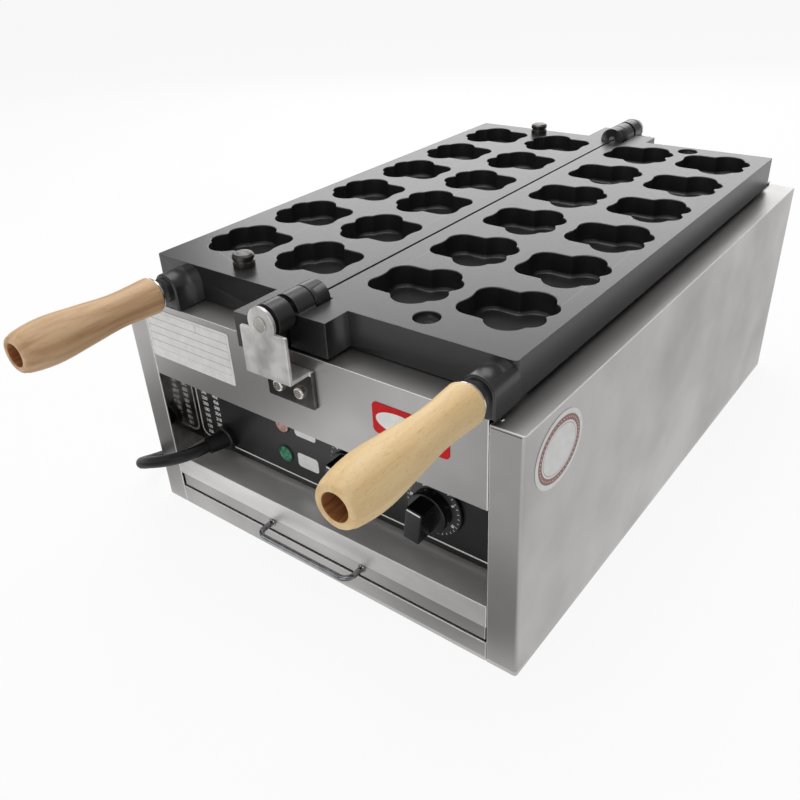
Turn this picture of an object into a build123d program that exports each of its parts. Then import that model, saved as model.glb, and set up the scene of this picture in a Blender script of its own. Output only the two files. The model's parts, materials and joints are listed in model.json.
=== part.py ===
from build123d import *
import math
import os

# A countertop waffle maker with two plates that fold over each other about a middle line.
# Sizes are in millimetres. X runs to the right, Y runs back and Z runs up.
# The origin is the middle of the case's underside.

# Case
CASE_WIDTH = 370
CASE_DEPTH = 530
CASE_HEIGHT = 200
SHEET = 1.2
CORNER_RADIUS = 2.5
POST_WIDTH = 24
PANEL_GAP = 0.5
FLANGE_STEP = 3
FLANGE_DEPTH = 45
LIP_DEPTH = 12
FRONT_PANEL_BOTTOM = 135.6
LOWER_RAIL_TOP = 18

# Control recess
RECESS_DEPTH = 31
SHELF_TOP = 53
SHELF_STRIP_BOTTOM = 33
CONTROL_BOX_DEPTH = 96

# Plates
AXIS_ABOVE_CASE = 31
MATING_GAP = 0.15
MIDDLE_GAP = 1
PLATE_LAP = 3
PLATE_SEAT_GAP = 0.5
PLATE_SETBACK = 25
PLATE_REAR_SETBACK = 20
PLATE_CORNER = 3
RELIEF_RIM = 8
RELIEF_DEPTH = 5

# Paw cavities
CAVITY_DEPTH = 17
CAVITY_FLOOR_FILLET = 3.5
COLUMN_PITCH = 75
ROW_PITCH = 75.6
CAVITY_MARGIN = 42
BLOCK_SHIFT_X = 1.5
BLOCK_SHIFT_Y = 7.7
PAD_RADIUS = 12
PAD_CENTRE = (-19.5, 11.5)
PAD_HOLLOW_RADIUS = 25
SIDE_TOE_RADIUS = 15.5
SIDE_TOE_CENTRE = (9, 16.5)
END_TOE_RADIUS = 11
END_TOE_CENTRE = (20.5, 9.5)
CUSP_RADIUS = 3

# Locating pins and the holes they enter
LOCATOR_SHIFT = 1
LOCATOR_FRONT_INSET = 20
LOCATOR_REAR_INSET = 14
LOCATOR_RADIUS = 8.5
LOCATOR_HEIGHT = 10
LOCATOR_CHAMFER = 1.5
LOCATOR_GROOVE = 1
LOCATOR_GROOVE_HEIGHT = 2
LOCATOR_STUB_RADIUS = 5
LOCATOR_STUB_LENGTH = 8
LOCATOR_CLEARANCE = 0.8
LOCATOR_BOTTOM_GAP = 2

# Hinges, measured forwards from the plate's front edge and the same at the rear
KNUCKLE_RADIUS = 12
KNUCKLE_CLEARANCE = 0.5
NOTCH_MARGIN = 1.5
INNER_KNUCKLE = (-9, 5)
MIDDLE_KNUCKLE = (6, 22)
OUTER_KNUCKLE = (26, 40.5)
LEFT_BLOCK_WIDTH = 31
LEFT_BLOCK_REACH = 41.5
RIGHT_BLOCK_WIDTH = 35
RIGHT_BLOCK_REACH = 23
BLOCK_LIFT = 1
PIN_RADIUS = 4
PIN_CLEARANCE = 0.05
PIN_HEAD_RADIUS = 5.5
PIN_HEAD_HEIGHT = 1.2
BRACKET_THICKNESS = 3
BRACKET_REACH = 46.5
BRACKET_HEAD_RADIUS = 12
BRACKET_WEB_HALF_WIDTH = 21
BRACKET_WEB_TOP_DROP = 5
BRACKET_FOOT_HALF_WIDTH = 22.5
BRACKET_FOOT_TOP_DROP = 37.6
BRACKET_FOOT_HEIGHT = 31
BRACKET_SCREW_X = 10
BRACKET_SCREW_RISE = 11.5
SCREW_RADIUS = 2.5
SCREW_HEAD_RADIUS = 4.6
SCREW_HEAD_HEIGHT = 3
SCREW_SOCKET_WIDTH = 3
SCREW_SOCKET_DEPTH = 1.6
SCREW_NUT_WIDTH = 8
SCREW_NUT_HEIGHT = 4

# Wooden handles on rods
HANDLE_RISE = 15
RIGHT_HANDLE_INSET = 11
LEFT_HANDLE_INSET = 38.5
BOSS_RADIUS = 12
BOSS_LENGTH = 26
BOSS_CHAMFER = 1.2
NECK_RADIUS = 9.5
NECK_LENGTH = 9.5
WASHER_RADIUS = 12.5
WASHER_THICKNESS = 1
ROD_RADIUS = 4
HANDLE_LENGTH = 113
HANDLE_WAIST = (33, 12.7)
HANDLE_SWELL = (61.5, 15)
HANDLE_BELLY = (85.5, 16.8)
HANDLE_TAIL = (101, 15.8)
HANDLE_INNER_RADIUS = 14
HANDLE_END_RADIUS = 12.8
HANDLE_BORE_CLEARANCE = 0.1
COUNTERBORE_RADIUS = 8.1
COUNTERBORE_DEPTH = 55
HANDLE_NUT_WIDTH = 13
HANDLE_NUT_HEIGHT = 6.5
ROD_PAST_NUT = 3

# Crumb tray
TRAY_FRONT_BOTTOM = 19.2
TRAY_FRONT_TOP = 32.4
TRAY_FRONT_SIDE_GAP = 2
TRAY_FRONT_SETBACK = 1.5
TRAY_SIDE_GAP = 7
TRAY_REAR_GAP = 39.3
TRAY_SHEET = 1
TRAY_SIDE_HEIGHT = 11
TRAY_HANDLE_CENTRES = 96
TRAY_HANDLE_RISE = 7.8
TRAY_HANDLE_REACH = 17
TRAY_HANDLE_RADIUS = 2.4
TRAY_HANDLE_BEND = 8
RUNNER_GAP = 0.3
RUNNER_WIDTH = 10
RUNNER_LEG = 8

# Controls
KNOB_SKIRT_RADIUS = 24
KNOB_SKIRT_DEPTH = 2.5
KNOB_PANEL_GAP = 0.8
KNOB_BODY_RADIUS = 16.5
KNOB_BODY_DEPTH = 9
KNOB_GRIP_WIDTH = 15
KNOB_GRIP_LENGTH = 29
KNOB_GRIP_DEPTH = 16
KNOB_CHAMFER = 1
KNOB_TURN = 8
SHAFT_RADIUS = 3
SHAFT_INTO_KNOB = 12
SHAFT_INTO_BODY = 14
SHAFT_CLEARANCE = 0.05
PANEL_HOLE_RADIUS = 6
BUSHING_RADIUS = 5.6
TIMER_X = 98
TIMER_Z = 91.5
THERMOSTAT_X = 25
THERMOSTAT_Z = 98
TIMER_BODY = (50, 38, 50)
THERMOSTAT_BODY = (42, 30, 36)
LAMP_X = -52
GREEN_LAMP_Z = 78
RED_LAMP_Z = 107
LAMP_FLANGE_RADIUS = 8
LAMP_FLANGE_DEPTH = 0.8
LAMP_BARREL_RADIUS = 5.5
LAMP_BARREL_LENGTH = 22
LAMP_LENS_RADIUS = 7
LAMP_LENS_DEPTH = 1.8
LAMP_LENS_CHAMFER = 1.2

# Heating
ELEMENT_RADIUS = 4
ELEMENT_DROP = 10
ELEMENT_FRONT = 74
ELEMENT_REAR_GAP = 52
ELEMENT_LEG_SPACING = 39
ELEMENT_HOLE_CLEARANCE = 0.3
ELEMENT_NUT_WIDTH = 13
ELEMENT_NUT_HEIGHT = 5
TERMINAL_RADIUS = 2
TERMINAL_LENGTH = 10
RAIL_FRONT = 180
RAIL_REAR_GAP = 100
RAIL_WIDTH = 20
RAIL_THICKNESS = 3
RAIL_TAB = 15
RAIL_GAP = 0.2
BULB_RADIUS = 3
BULB_FRONT = 165
BULB_REAR = 255
CAPILLARY_RADIUS = 1.1
CAPILLARY_HOLE = 3

# Wiring inside the control box
BLOCK_SPAN_X = (-104, -56)
BLOCK_SPAN_BEHIND = (62, 82)
BLOCK_HEIGHT = 16
WIRE_RADIUS = 1.3
WIRE_BEND = 6
LEAD_SPACING = 3.4

# Mains cord
CORD_RADIUS = 5.2
CORD_ARC_SHARE = 0.45
GLAND_INSET = 60.2
GLAND_Z = 67.6
GLAND_RADIUS = 11
GLAND_DEPTH = 6
GLAND_BARREL_RADIUS = 8
GLAND_BARREL_LENGTH = 14
GLAND_NUT_WIDTH = 22
GLAND_NUT_HEIGHT = 5
RELIEF_ROOT_RADIUS = 9
RELIEF_TIP_RADIUS = 7
RELIEF_LENGTH = 20
CORD_FLOOR_GAP = 0.1

# The coil of cord put away beside the case
COIL_OUTSET = 90
COIL_BEHIND = 215
COIL_MIDDLE_RADIUS = 57
COIL_TURNS_A_LAYER = 1.5
COIL_GAP = 0.8

# Plug
PLUG_BOOT_LENGTH = 24
PLUG_BOOT_ROOT_RADIUS = 8.5
PLUG_BOOT_TIP_RADIUS = 6.8
PLUG_BODY_LENGTH = 36
PLUG_FACE_RADIUS = 18.5
PLUG_NECK_RADIUS = 11
PLUG_FLOOR_GAP = 0.2
PLUG_PIN_RADIUS = 2.4
PLUG_PIN_LENGTH = 19
PLUG_PIN_SPACING = 19

# Plates and stickers on the case
RATING_PLATE_WIDTH = 97.1
RATING_PLATE_HEIGHT = 44
RATING_PLATE_SIDE_GAP = 1.2
RATING_PLATE_DROP = 2.2
FRONT_BADGE = (72, 133, 163, 187)
SIDE_BADGE_BEHIND = 43.3
SIDE_BADGE_Z = 167
SIDE_BADGE_HALF_SIZES = (30.5, 26)
BADGE_THICKNESS = 0.4
BADGE_CORNER = 4

# Places worked out from the sizes above
FRONT = -CASE_DEPTH / 2
BACK = CASE_DEPTH / 2
HALF_WIDTH = CASE_WIDTH / 2
INNER_HALF = HALF_WIDTH - POST_WIDTH
PANEL_HALF = INNER_HALF - PANEL_GAP
FLANGE_TOP = CASE_HEIGHT + FLANGE_STEP
AXIS_Z = CASE_HEIGHT + AXIS_ABOVE_CASE
PLATE_TOP = AXIS_Z - MATING_GAP
PLATE_BOTTOM = FLANGE_TOP + PLATE_SEAT_GAP
PLATE_OUTER = INNER_HALF + PLATE_LAP
PLATE_FRONT = FRONT + PLATE_SETBACK
PLATE_BACK = BACK - PLATE_REAR_SETBACK
PANEL_Y = FRONT + RECESS_DEPTH
SHIELD_Y = FRONT + CONTROL_BOX_DEPTH
HANDLE_Z = PLATE_BOTTOM + HANDLE_RISE
RIGHT_HANDLE_X = PLATE_OUTER - RIGHT_HANDLE_INSET
LEFT_HANDLE_X = PLATE_OUTER - LEFT_HANDLE_INSET
ELEMENT_RISE = CASE_HEIGHT - ELEMENT_DROP
GLAND_X = GLAND_INSET - HALF_WIDTH
COIL_X = -HALF_WIDTH - COIL_OUTSET
COIL_PITCH = 2 * CORD_RADIUS + COIL_GAP
CORD_FLOOR = CORD_RADIUS + CORD_FLOOR_GAP
BRACKET_TOP_Z = AXIS_Z - BRACKET_FOOT_TOP_DROP


# Helpers

def box(x_span, y_span, z_span):
    """A box between two limits on each axis."""
    (x0, x1), (y0, y1), (z0, z1) = sorted(x_span), sorted(y_span), sorted(z_span)
    middle = Pos((x0 + x1) / 2, (y0 + y1) / 2, (z0 + z1) / 2)
    return middle * Box(x1 - x0, y1 - y0, z1 - z0)


def cylinder_y(x, z, y_span, radius):
    """A cylinder along Y."""
    y0, y1 = sorted(y_span)
    return Pos(x, (y0 + y1) / 2, z) * Rot(90, 0, 0) * Cylinder(radius, y1 - y0)


def cylinder_z(x, y, z_span, radius):
    """A cylinder along Z."""
    z0, z1 = sorted(z_span)
    return Pos(x, y, (z0 + z1) / 2) * Cylinder(radius, z1 - z0)


def hexagon_y(x, z, y_span, width):
    """A hexagonal bar along Y, with its width across the flats."""
    y0, y1 = sorted(y_span)
    outline = Plane(origin=(x, y1, z), z_dir=(0, -1, 0)) * RegularPolygon(width / math.sqrt(3), 6)
    return extrude(outline, amount=y1 - y0)


def cone_along(start, direction, length, start_radius, end_radius):
    """A frustum from a start point along a direction."""
    base = Plane(origin=start, z_dir=direction)
    return Solid.make_cone(start_radius, end_radius, length, plane=base)


def tube(path, radius):
    """A round tube along a path."""
    section = Plane(origin=path @ 0, z_dir=path % 0) * Circle(radius)
    return sweep(section, path=path)


def at(x, behind, z):
    """A point given by its distance behind the case's front."""
    return Vector(x, FRONT + behind, z)


def beside(outset, behind, z):
    """A point given by its distance out from the case's left side."""
    return at(-HALF_WIDTH - outset, behind, z)


def side_span(side, inner, outer):
    """Limits in X on the right side for 1, or on the left for -1."""
    return (side * inner, side * outer)


# Case

def side_wall(side):
    """Outer sheet folded over at the top, front and rear, and turned in at the floor."""
    outer = box(side_span(side, INNER_HALF, HALF_WIDTH), (FRONT, BACK), (0, CASE_HEIGHT))
    uprights = outer.edges().filter_by(Axis.Z).sort_by(Axis.X)
    outer_pair = uprights[-2:] if side > 0 else uprights[:2]
    outer = fillet(outer_pair, CORNER_RADIUS)
    hollow = box(
        side_span(side, INNER_HALF - SHEET, HALF_WIDTH - SHEET),
        (FRONT + SHEET, BACK - SHEET),
        (SHEET, CASE_HEIGHT - SHEET),
    )
    floor_gap = box(
        side_span(side, INNER_HALF - SHEET, HALF_WIDTH - LIP_DEPTH),
        (FRONT + SHEET, BACK - SHEET),
        (-SHEET, CASE_HEIGHT / 2),
    )
    return outer - hollow - floor_gap


def liner(side):
    """Inner skin between the front and rear flanges of a side wall."""
    return box(
        side_span(side, INNER_HALF, INNER_HALF + SHEET),
        (FRONT + SHEET, BACK - SHEET),
        (0, CASE_HEIGHT - SHEET),
    )


def base_pan():
    """Floor sheet with a raised rail at the front and a low lip at the rear."""
    floor = box((-PANEL_HALF, PANEL_HALF), (FRONT, BACK - SHEET), (0, SHEET))
    rail = box((-PANEL_HALF, PANEL_HALF), (FRONT, FRONT + SHEET), (0, LOWER_RAIL_TOP))
    rail_lip = box(
        (-PANEL_HALF, PANEL_HALF),
        (FRONT, FRONT + SHEET + RUNNER_WIDTH / 2),
        (LOWER_RAIL_TOP - SHEET, LOWER_RAIL_TOP),
    )
    rear_lip = box((-PANEL_HALF, PANEL_HALF), (BACK - 2 * SHEET, BACK - SHEET), (0, LIP_DEPTH))
    return floor + rail + rail_lip + rear_lip


def screw_places():
    """X places and the height of the screws in a hinge bracket's foot."""
    height = BRACKET_TOP_Z - BRACKET_FOOT_HEIGHT + BRACKET_SCREW_RISE
    return [(side * BRACKET_SCREW_X, height) for side in (-1, 1)]


def front_panel():
    """Upper front sheet with a flange under the plates and a lip at its bottom."""
    span = (-PANEL_HALF, PANEL_HALF)
    face = box(span, (FRONT, FRONT + SHEET), (FRONT_PANEL_BOTTOM, FLANGE_TOP))
    flange = box(span, (FRONT, FRONT + FLANGE_DEPTH), (FLANGE_TOP - SHEET, FLANGE_TOP))
    lip = box(
        span, (FRONT, FRONT + LIP_DEPTH), (FRONT_PANEL_BOTTOM, FRONT_PANEL_BOTTOM + SHEET)
    )
    holes = [cylinder_y(x, z, (FRONT - 1, FRONT + 2), SCREW_RADIUS) for x, z in screw_places()]
    return face + flange + lip - holes


def back_panel():
    """Rear sheet with a flange under the plates."""
    span = (-PANEL_HALF, PANEL_HALF)
    face = box(span, (BACK - SHEET, BACK), (0, FLANGE_TOP))
    flange = box(span, (BACK - FLANGE_DEPTH, BACK), (FLANGE_TOP - SHEET, FLANGE_TOP))
    holes = [cylinder_y(x, z, (BACK - 2, BACK + 1), SCREW_RADIUS) for x, z in screw_places()]
    return face + flange - holes


def control_shelf():
    """Ledge that the controls stand behind, with the strip above the crumb tray."""
    span = (-PANEL_HALF, PANEL_HALF)
    ledge = box(span, (FRONT, SHIELD_Y + SHEET), (SHELF_TOP - SHEET, SHELF_TOP))
    strip = box(span, (FRONT, FRONT + SHEET), (SHELF_STRIP_BOTTOM, SHELF_TOP))
    return ledge + strip


def knob_axes():
    """X and Z of the two knob shafts."""
    return [(TIMER_X, TIMER_Z), (THERMOSTAT_X, THERMOSTAT_Z)]


def lamp_axes():
    """X and Z of the two lamps."""
    return [(LAMP_X, GREEN_LAMP_Z), (LAMP_X, RED_LAMP_Z)]


def control_panel():
    """Upright panel at the back of the recess, holed for shafts, lamps and the gland."""
    sheet = box(
        (-PANEL_HALF, PANEL_HALF), (PANEL_Y, PANEL_Y + SHEET), (SHELF_TOP, CASE_HEIGHT)
    )
    through = (PANEL_Y - 1, PANEL_Y + SHEET + 1)
    holes = [cylinder_y(x, z, through, PANEL_HOLE_RADIUS) for x, z in knob_axes()]
    holes += [cylinder_y(x, z, through, LAMP_BARREL_RADIUS) for x, z in lamp_axes()]
    holes.append(cylinder_y(GLAND_X, GLAND_Z, through, GLAND_BARREL_RADIUS))
    return sheet - holes


def element_legs():
    """X places of all eight element legs."""
    middles = element_middles()
    offsets = (-ELEMENT_LEG_SPACING / 2, ELEMENT_LEG_SPACING / 2)
    return [side * (middle + offset) for side in (-1, 1) for middle in middles for offset in offsets]


def heat_shield():
    """Wall between the control box and the heating space."""
    sheet = box(
        (-PANEL_HALF, PANEL_HALF),
        (SHIELD_Y, SHIELD_Y + SHEET),
        (SHELF_TOP, FLANGE_TOP - SHEET),
    )
    through = (SHIELD_Y - 1, SHIELD_Y + SHEET + 1)
    leg_hole = ELEMENT_RADIUS + ELEMENT_HOLE_CLEARANCE
    holes = [cylinder_y(x, ELEMENT_RISE, through, leg_hole) for x in element_legs()]
    holes.append(cylinder_y(paws_middle(), ELEMENT_RISE, through, CAPILLARY_HOLE))
    return sheet - holes


def tray_runners():
    """Two angle rails on the liners that the crumb tray slides on."""
    top = TRAY_FRONT_BOTTOM - RUNNER_GAP
    rails = []
    for side in (-1, 1):
        ledge = box(
            side_span(side, INNER_HALF - RUNNER_WIDTH, INNER_HALF),
            (FRONT + SHEET + RUNNER_WIDTH, BACK - 2 * RUNNER_WIDTH),
            (top - SHEET, top),
        )
        leg = box(
            side_span(side, INNER_HALF - SHEET, INNER_HALF),
            (FRONT + SHEET + RUNNER_WIDTH, BACK - 2 * RUNNER_WIDTH),
            (top - RUNNER_LEG, top),
        )
        rails.append(ledge + leg)
    return rails


# Heating

def paws_middle():
    """X of the middle of the right plate's cavities."""
    return (MIDDLE_GAP + PLATE_OUTER) / 2 + BLOCK_SHIFT_X


def element_middles():
    """X of the inner and the outer element on the right, as far apart as two columns of cavities."""
    return paws_middle() - COLUMN_PITCH / 2, paws_middle() + COLUMN_PITCH / 2


def element_rails():
    """Two cross bars under the elements, with tabs on the liners."""
    top = ELEMENT_RISE - ELEMENT_RADIUS - RAIL_GAP
    rails = []
    for behind in (RAIL_FRONT, CASE_DEPTH - RAIL_REAR_GAP):
        y_span = (FRONT + behind - RAIL_WIDTH / 2, FRONT + behind + RAIL_WIDTH / 2)
        bar = box((-INNER_HALF, INNER_HALF), y_span, (top - RAIL_THICKNESS, top))
        for side in (-1, 1):
            tab_span = side_span(side, INNER_HALF - RAIL_THICKNESS, INNER_HALF)
            bar += box(tab_span, y_span, (top - RAIL_TAB, top))
        rails.append(bar)
    return rails


def heating_element(middle_x):
    """A U of tube under one column of cavities."""
    half = ELEMENT_LEG_SPACING / 2
    bend_y = BACK - ELEMENT_REAR_GAP - half
    front_y = FRONT + ELEMENT_FRONT
    path = Curve() + [
        Line((middle_x - half, front_y, ELEMENT_RISE), (middle_x - half, bend_y, ELEMENT_RISE)),
        ThreePointArc(
            (middle_x - half, bend_y, ELEMENT_RISE),
            (middle_x, bend_y + half, ELEMENT_RISE),
            (middle_x + half, bend_y, ELEMENT_RISE),
        ),
        Line((middle_x + half, bend_y, ELEMENT_RISE), (middle_x + half, front_y, ELEMENT_RISE)),
    ]
    return tube(path, ELEMENT_RADIUS)


def element_nuts():
    """A nut on each element leg, against the front of the heat shield."""
    nuts = []
    for x in element_legs():
        span = (SHIELD_Y - ELEMENT_NUT_HEIGHT, SHIELD_Y)
        nut = hexagon_y(x, ELEMENT_RISE, span, ELEMENT_NUT_WIDTH)
        nuts.append(nut - cylinder_y(x, ELEMENT_RISE, span, ELEMENT_RADIUS))
    return nuts


def element_terminals():
    """A stud at the front end of each element leg."""
    span = (FRONT + ELEMENT_FRONT - TERMINAL_LENGTH, FRONT + ELEMENT_FRONT)
    return [cylinder_y(x, ELEMENT_RISE, span, TERMINAL_RADIUS) for x in element_legs()]


def bulb_height():
    """Height of the thermostat bulb, which lies on the element rail."""
    return ELEMENT_RISE - ELEMENT_RADIUS - RAIL_GAP + BULB_RADIUS + RAIL_GAP / 2


def thermostat_bulb():
    """Sensing bulb between the elements of the right plate."""
    return cylinder_y(paws_middle(), bulb_height(), (FRONT + BULB_FRONT, FRONT + BULB_REAR), BULB_RADIUS)


def thermostat_capillary():
    """Fine tube from the bulb through the heat shield to the thermostat's top."""
    body_top = THERMOSTAT_Z + THERMOSTAT_BODY[2] / 2
    points = [
        at(paws_middle(), BULB_FRONT, bulb_height()),
        at(paws_middle(), CONTROL_BOX_DEPTH - 14, bulb_height()),
        at(paws_middle() - 20, CONTROL_BOX_DEPTH - 28, bulb_height() - 25),
        at(THERMOSTAT_X + 8, RECESS_DEPTH + 22, body_top + 30),
        at(THERMOSTAT_X + 8, RECESS_DEPTH + 22, body_top),
    ]
    return tube(FilletPolyline(*points, radius=12), CAPILLARY_RADIUS)


# Controls

def control_body(x, z, sizes):
    """Switch body behind the panel, with a bushing through it and a bore for the shaft."""
    width, depth, height = sizes
    front = PANEL_Y + SHEET
    body = box((x - width / 2, x + width / 2), (front, front + depth), (z - height / 2, z + height / 2))
    body = fillet(body.edges().filter_by(Axis.Y), 3)
    body += cylinder_y(x, z, (PANEL_Y, front), BUSHING_RADIUS)
    bore = (PANEL_Y - 1, front + SHAFT_INTO_BODY + 1)
    return body - cylinder_y(x, z, bore, SHAFT_RADIUS + SHAFT_CLEARANCE)


def knob_back():
    """Y of a knob's face beside the panel."""
    return PANEL_Y - KNOB_PANEL_GAP


def control_shaft(x, z):
    """Spindle from inside the switch body to inside the knob."""
    span = (knob_back() - SHAFT_INTO_KNOB, PANEL_Y + SHEET + SHAFT_INTO_BODY)
    return cylinder_y(x, z, span, SHAFT_RADIUS)


def knob(x, z):
    """Flat round skirt, round body and a bar grip turned a little to the right."""
    skirt_front = knob_back() - KNOB_SKIRT_DEPTH
    body_front = skirt_front - KNOB_BODY_DEPTH
    skirt = cylinder_y(x, z, (skirt_front, knob_back()), KNOB_SKIRT_RADIUS)
    skirt = chamfer(skirt.faces().sort_by(Axis.Y)[0].edges(), KNOB_CHAMFER)
    body = cylinder_y(x, z, (body_front, skirt_front), KNOB_BODY_RADIUS)
    body = chamfer(body.faces().sort_by(Axis.Y)[0].edges(), KNOB_CHAMFER)
    half_width = KNOB_GRIP_WIDTH / 2
    half_length = KNOB_GRIP_LENGTH / 2
    grip = box(
        (-half_width, half_width),
        (body_front - KNOB_GRIP_DEPTH, body_front + KNOB_CHAMFER),
        (-half_length, half_length),
    )
    grip = fillet(grip.edges().filter_by(Axis.Y), KNOB_CHAMFER)
    grip = chamfer(grip.faces().sort_by(Axis.Y)[0].edges(), KNOB_CHAMFER / 2)
    grip = Pos(x, 0, z) * Rot(0, KNOB_TURN, 0) * grip
    socket = cylinder_y(x, z, (knob_back() - SHAFT_INTO_KNOB, knob_back()), SHAFT_RADIUS)
    return skirt + body + grip - socket


def lamp_body(x, z):
    """Bezel in front of the panel with a barrel through it."""
    flange = cylinder_y(x, z, (PANEL_Y - LAMP_FLANGE_DEPTH, PANEL_Y), LAMP_FLANGE_RADIUS)
    flange = chamfer(flange.faces().sort_by(Axis.Y)[0].edges(), LAMP_FLANGE_DEPTH / 2)
    barrel = cylinder_y(x, z, (PANEL_Y, PANEL_Y + LAMP_BARREL_LENGTH), LAMP_BARREL_RADIUS)
    return flange + barrel


def lamp_lens(x, z):
    """Shallow lens with a sloping rim on the bezel."""
    back = PANEL_Y - LAMP_FLANGE_DEPTH
    lens = cylinder_y(x, z, (back - LAMP_LENS_DEPTH, back), LAMP_LENS_RADIUS)
    return chamfer(lens.faces().sort_by(Axis.Y)[0].edges(), LAMP_LENS_CHAMFER)


def terminal_block():
    """Block on the shelf where the mains leads divide."""
    y_span = tuple(FRONT + behind for behind in BLOCK_SPAN_BEHIND)
    block = box(BLOCK_SPAN_X, y_span, (SHELF_TOP, SHELF_TOP + BLOCK_HEIGHT))
    x0, x1 = BLOCK_SPAN_X
    ways = 4
    slots = []
    for way in range(1, ways):
        x = x0 + (x1 - x0) * way / ways
        slots.append(box((x - 1, x + 1), y_span, (SHELF_TOP + BLOCK_HEIGHT / 2, SHELF_TOP + BLOCK_HEIGHT)))
    return block - slots


def control_wires():
    """Leads from the gland to the terminal block and on to the controls."""
    block_front = BLOCK_SPAN_BEHIND[0]
    lead_start = RECESS_DEPTH + GLAND_BARREL_LENGTH
    low = SHELF_TOP + BLOCK_HEIGHT / 4
    top = SHELF_TOP + BLOCK_HEIGHT
    rear = RECESS_DEPTH + SHEET
    x0, x1 = BLOCK_SPAN_X
    routes = []
    for index in range(3):
        x_end = x0 + 6 + 12 * index
        z_start = GLAND_Z + LEAD_SPACING * (index - 1)
        z_end = low + LEAD_SPACING * index
        routes.append([
            at(GLAND_X, lead_start, z_start),
            at(GLAND_X, block_front - 8, z_start),
            at(x_end, block_front - 8, z_end),
            at(x_end, block_front, z_end),
        ])
    timer_top = TIMER_Z + TIMER_BODY[2] / 2
    thermostat_top = THERMOSTAT_Z + THERMOSTAT_BODY[2] / 2
    block_middle = sum(BLOCK_SPAN_BEHIND) / 2
    routes.append([
        at(x1 - 18, block_middle, top),
        at(x1 - 18, block_middle, top + 75),
        at(TIMER_X, block_middle, top + 79),
        at(TIMER_X, rear + TIMER_BODY[1] / 2, timer_top + 20),
        at(TIMER_X, rear + TIMER_BODY[1] / 2, timer_top),
    ])
    routes.append([
        at(x1 - 6, block_middle, top),
        at(x1 - 6, block_middle, top + 66),
        at(THERMOSTAT_X - 8, block_middle, top + 70),
        at(THERMOSTAT_X - 8, rear + THERMOSTAT_BODY[1] / 2, thermostat_top + 18),
        at(THERMOSTAT_X - 8, rear + THERMOSTAT_BODY[1] / 2, thermostat_top),
    ])
    return [tube(FilletPolyline(*route, radius=WIRE_BEND), WIRE_RADIUS) for route in routes]


# Mains cord

CORD_START = beside(-55.5, 11.5, 66.5)
CORD_POINTS = [
    CORD_START,
    beside(-51.0, -2.4, 64.9),
    beside(-41.0, -13.4, 61.9),
    beside(-27.4, -19.0, 57.0),
    beside(-10.5, -20.6, 50.2),
    beside(7.5, -17.6, 40.3),
    beside(23.5, -7.0, 28.8),
    beside(34.5, 9.5, 17.6),
    beside(40.0, 30.0, 9.3),
    beside(41.0, 53.5, CORD_FLOOR + 0.1),
    beside(38.0, 80.0, CORD_FLOOR),
    beside(32.5, 106.0, CORD_FLOOR),
    beside(28.0, 131.0, CORD_FLOOR),
    beside(25.4, 156.0, CORD_FLOOR),
]
COIL_LEAD_RUN = 24


def coil_place(turn):
    """Centre line of the coil: in one layer, out again in the next, at a steady rate."""
    reverse_start = COIL_TURNS_A_LAYER
    reverse_end = COIL_TURNS_A_LAYER + 0.5
    outer = COIL_MIDDLE_RADIUS + COIL_PITCH * COIL_TURNS_A_LAYER / 2
    inner = outer - COIL_PITCH * COIL_TURNS_A_LAYER
    if turn <= reverse_start:
        radius = outer - COIL_PITCH * turn
        rise = 0
    elif turn < reverse_end:
        share = (turn - reverse_start) / 0.5
        radius = inner - COIL_PITCH * 0.5 * share * (1 - share)
        rise = COIL_PITCH * (1 - math.cos(math.pi * share)) / 2
    else:
        radius = inner + COIL_PITCH * (turn - reverse_end)
        rise = COIL_PITCH
    angle = 2 * math.pi * turn
    return at(
        COIL_X + radius * math.cos(angle),
        COIL_BEHIND + radius * math.sin(angle),
        CORD_FLOOR + rise,
    )


def coil_direction(turn):
    """Unit tangent of the coil's centre line."""
    step = 0.0005
    return (coil_place(turn + step) - coil_place(turn - step)).normalized()


def coil_end_turn():
    """Turns from the coil's start to its end."""
    return 2 * COIL_TURNS_A_LAYER + 0.5


def biarc(start, start_direction, end, end_direction):
    """Two arcs that join two points with given directions."""
    chord = end - start
    total = start_direction + end_direction
    a = 2 - 2 * start_direction.dot(end_direction)
    b = 2 * chord.dot(total)
    c = -chord.dot(chord)
    reach = (-b + math.sqrt(b * b - 4 * a * c)) / (2 * a)
    middle = (start + start_direction * reach + end - end_direction * reach) / 2
    first = Edge.make_tangent_arc(start, start_direction, middle)
    second = Edge.make_tangent_arc(middle, first % 1, end)
    return [first, second]


def coil_joint():
    """Where the coil's straight lead begins, and its direction."""
    direction = coil_direction(0.0005)
    direction = Vector(direction.X, direction.Y, 0).normalized()
    return coil_place(0) - direction * (2 * CORD_RADIUS), direction


def coil_tail():
    """Where the coil's straight tail ends, and its direction."""
    direction = coil_direction(coil_end_turn() - 0.0005)
    direction = Vector(direction.X, direction.Y, 0).normalized()
    return coil_place(coil_end_turn()) + direction * (2 * CORD_RADIUS), direction


def cord_coil():
    """The length of cord put away: one tube wound in and out in two layers."""
    lead_start, lead_direction = coil_joint()
    tail_end, tail_direction = coil_tail()
    steps = round(coil_end_turn() * 4)
    edges = [Line(lead_start, coil_place(0))]
    direction = lead_direction
    for index in range(steps):
        turn = (index + 1) / 4
        end_direction = tail_direction if index == steps - 1 else coil_direction(turn)
        edges += biarc(coil_place(index / 4), direction, coil_place(turn), end_direction)
        direction = end_direction
    edges.append(Line(coil_place(coil_end_turn()), tail_end))
    path = Wire([Edge(edge) if not isinstance(edge, Edge) else edge for edge in edges])
    return tube(path, CORD_RADIUS), path


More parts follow.
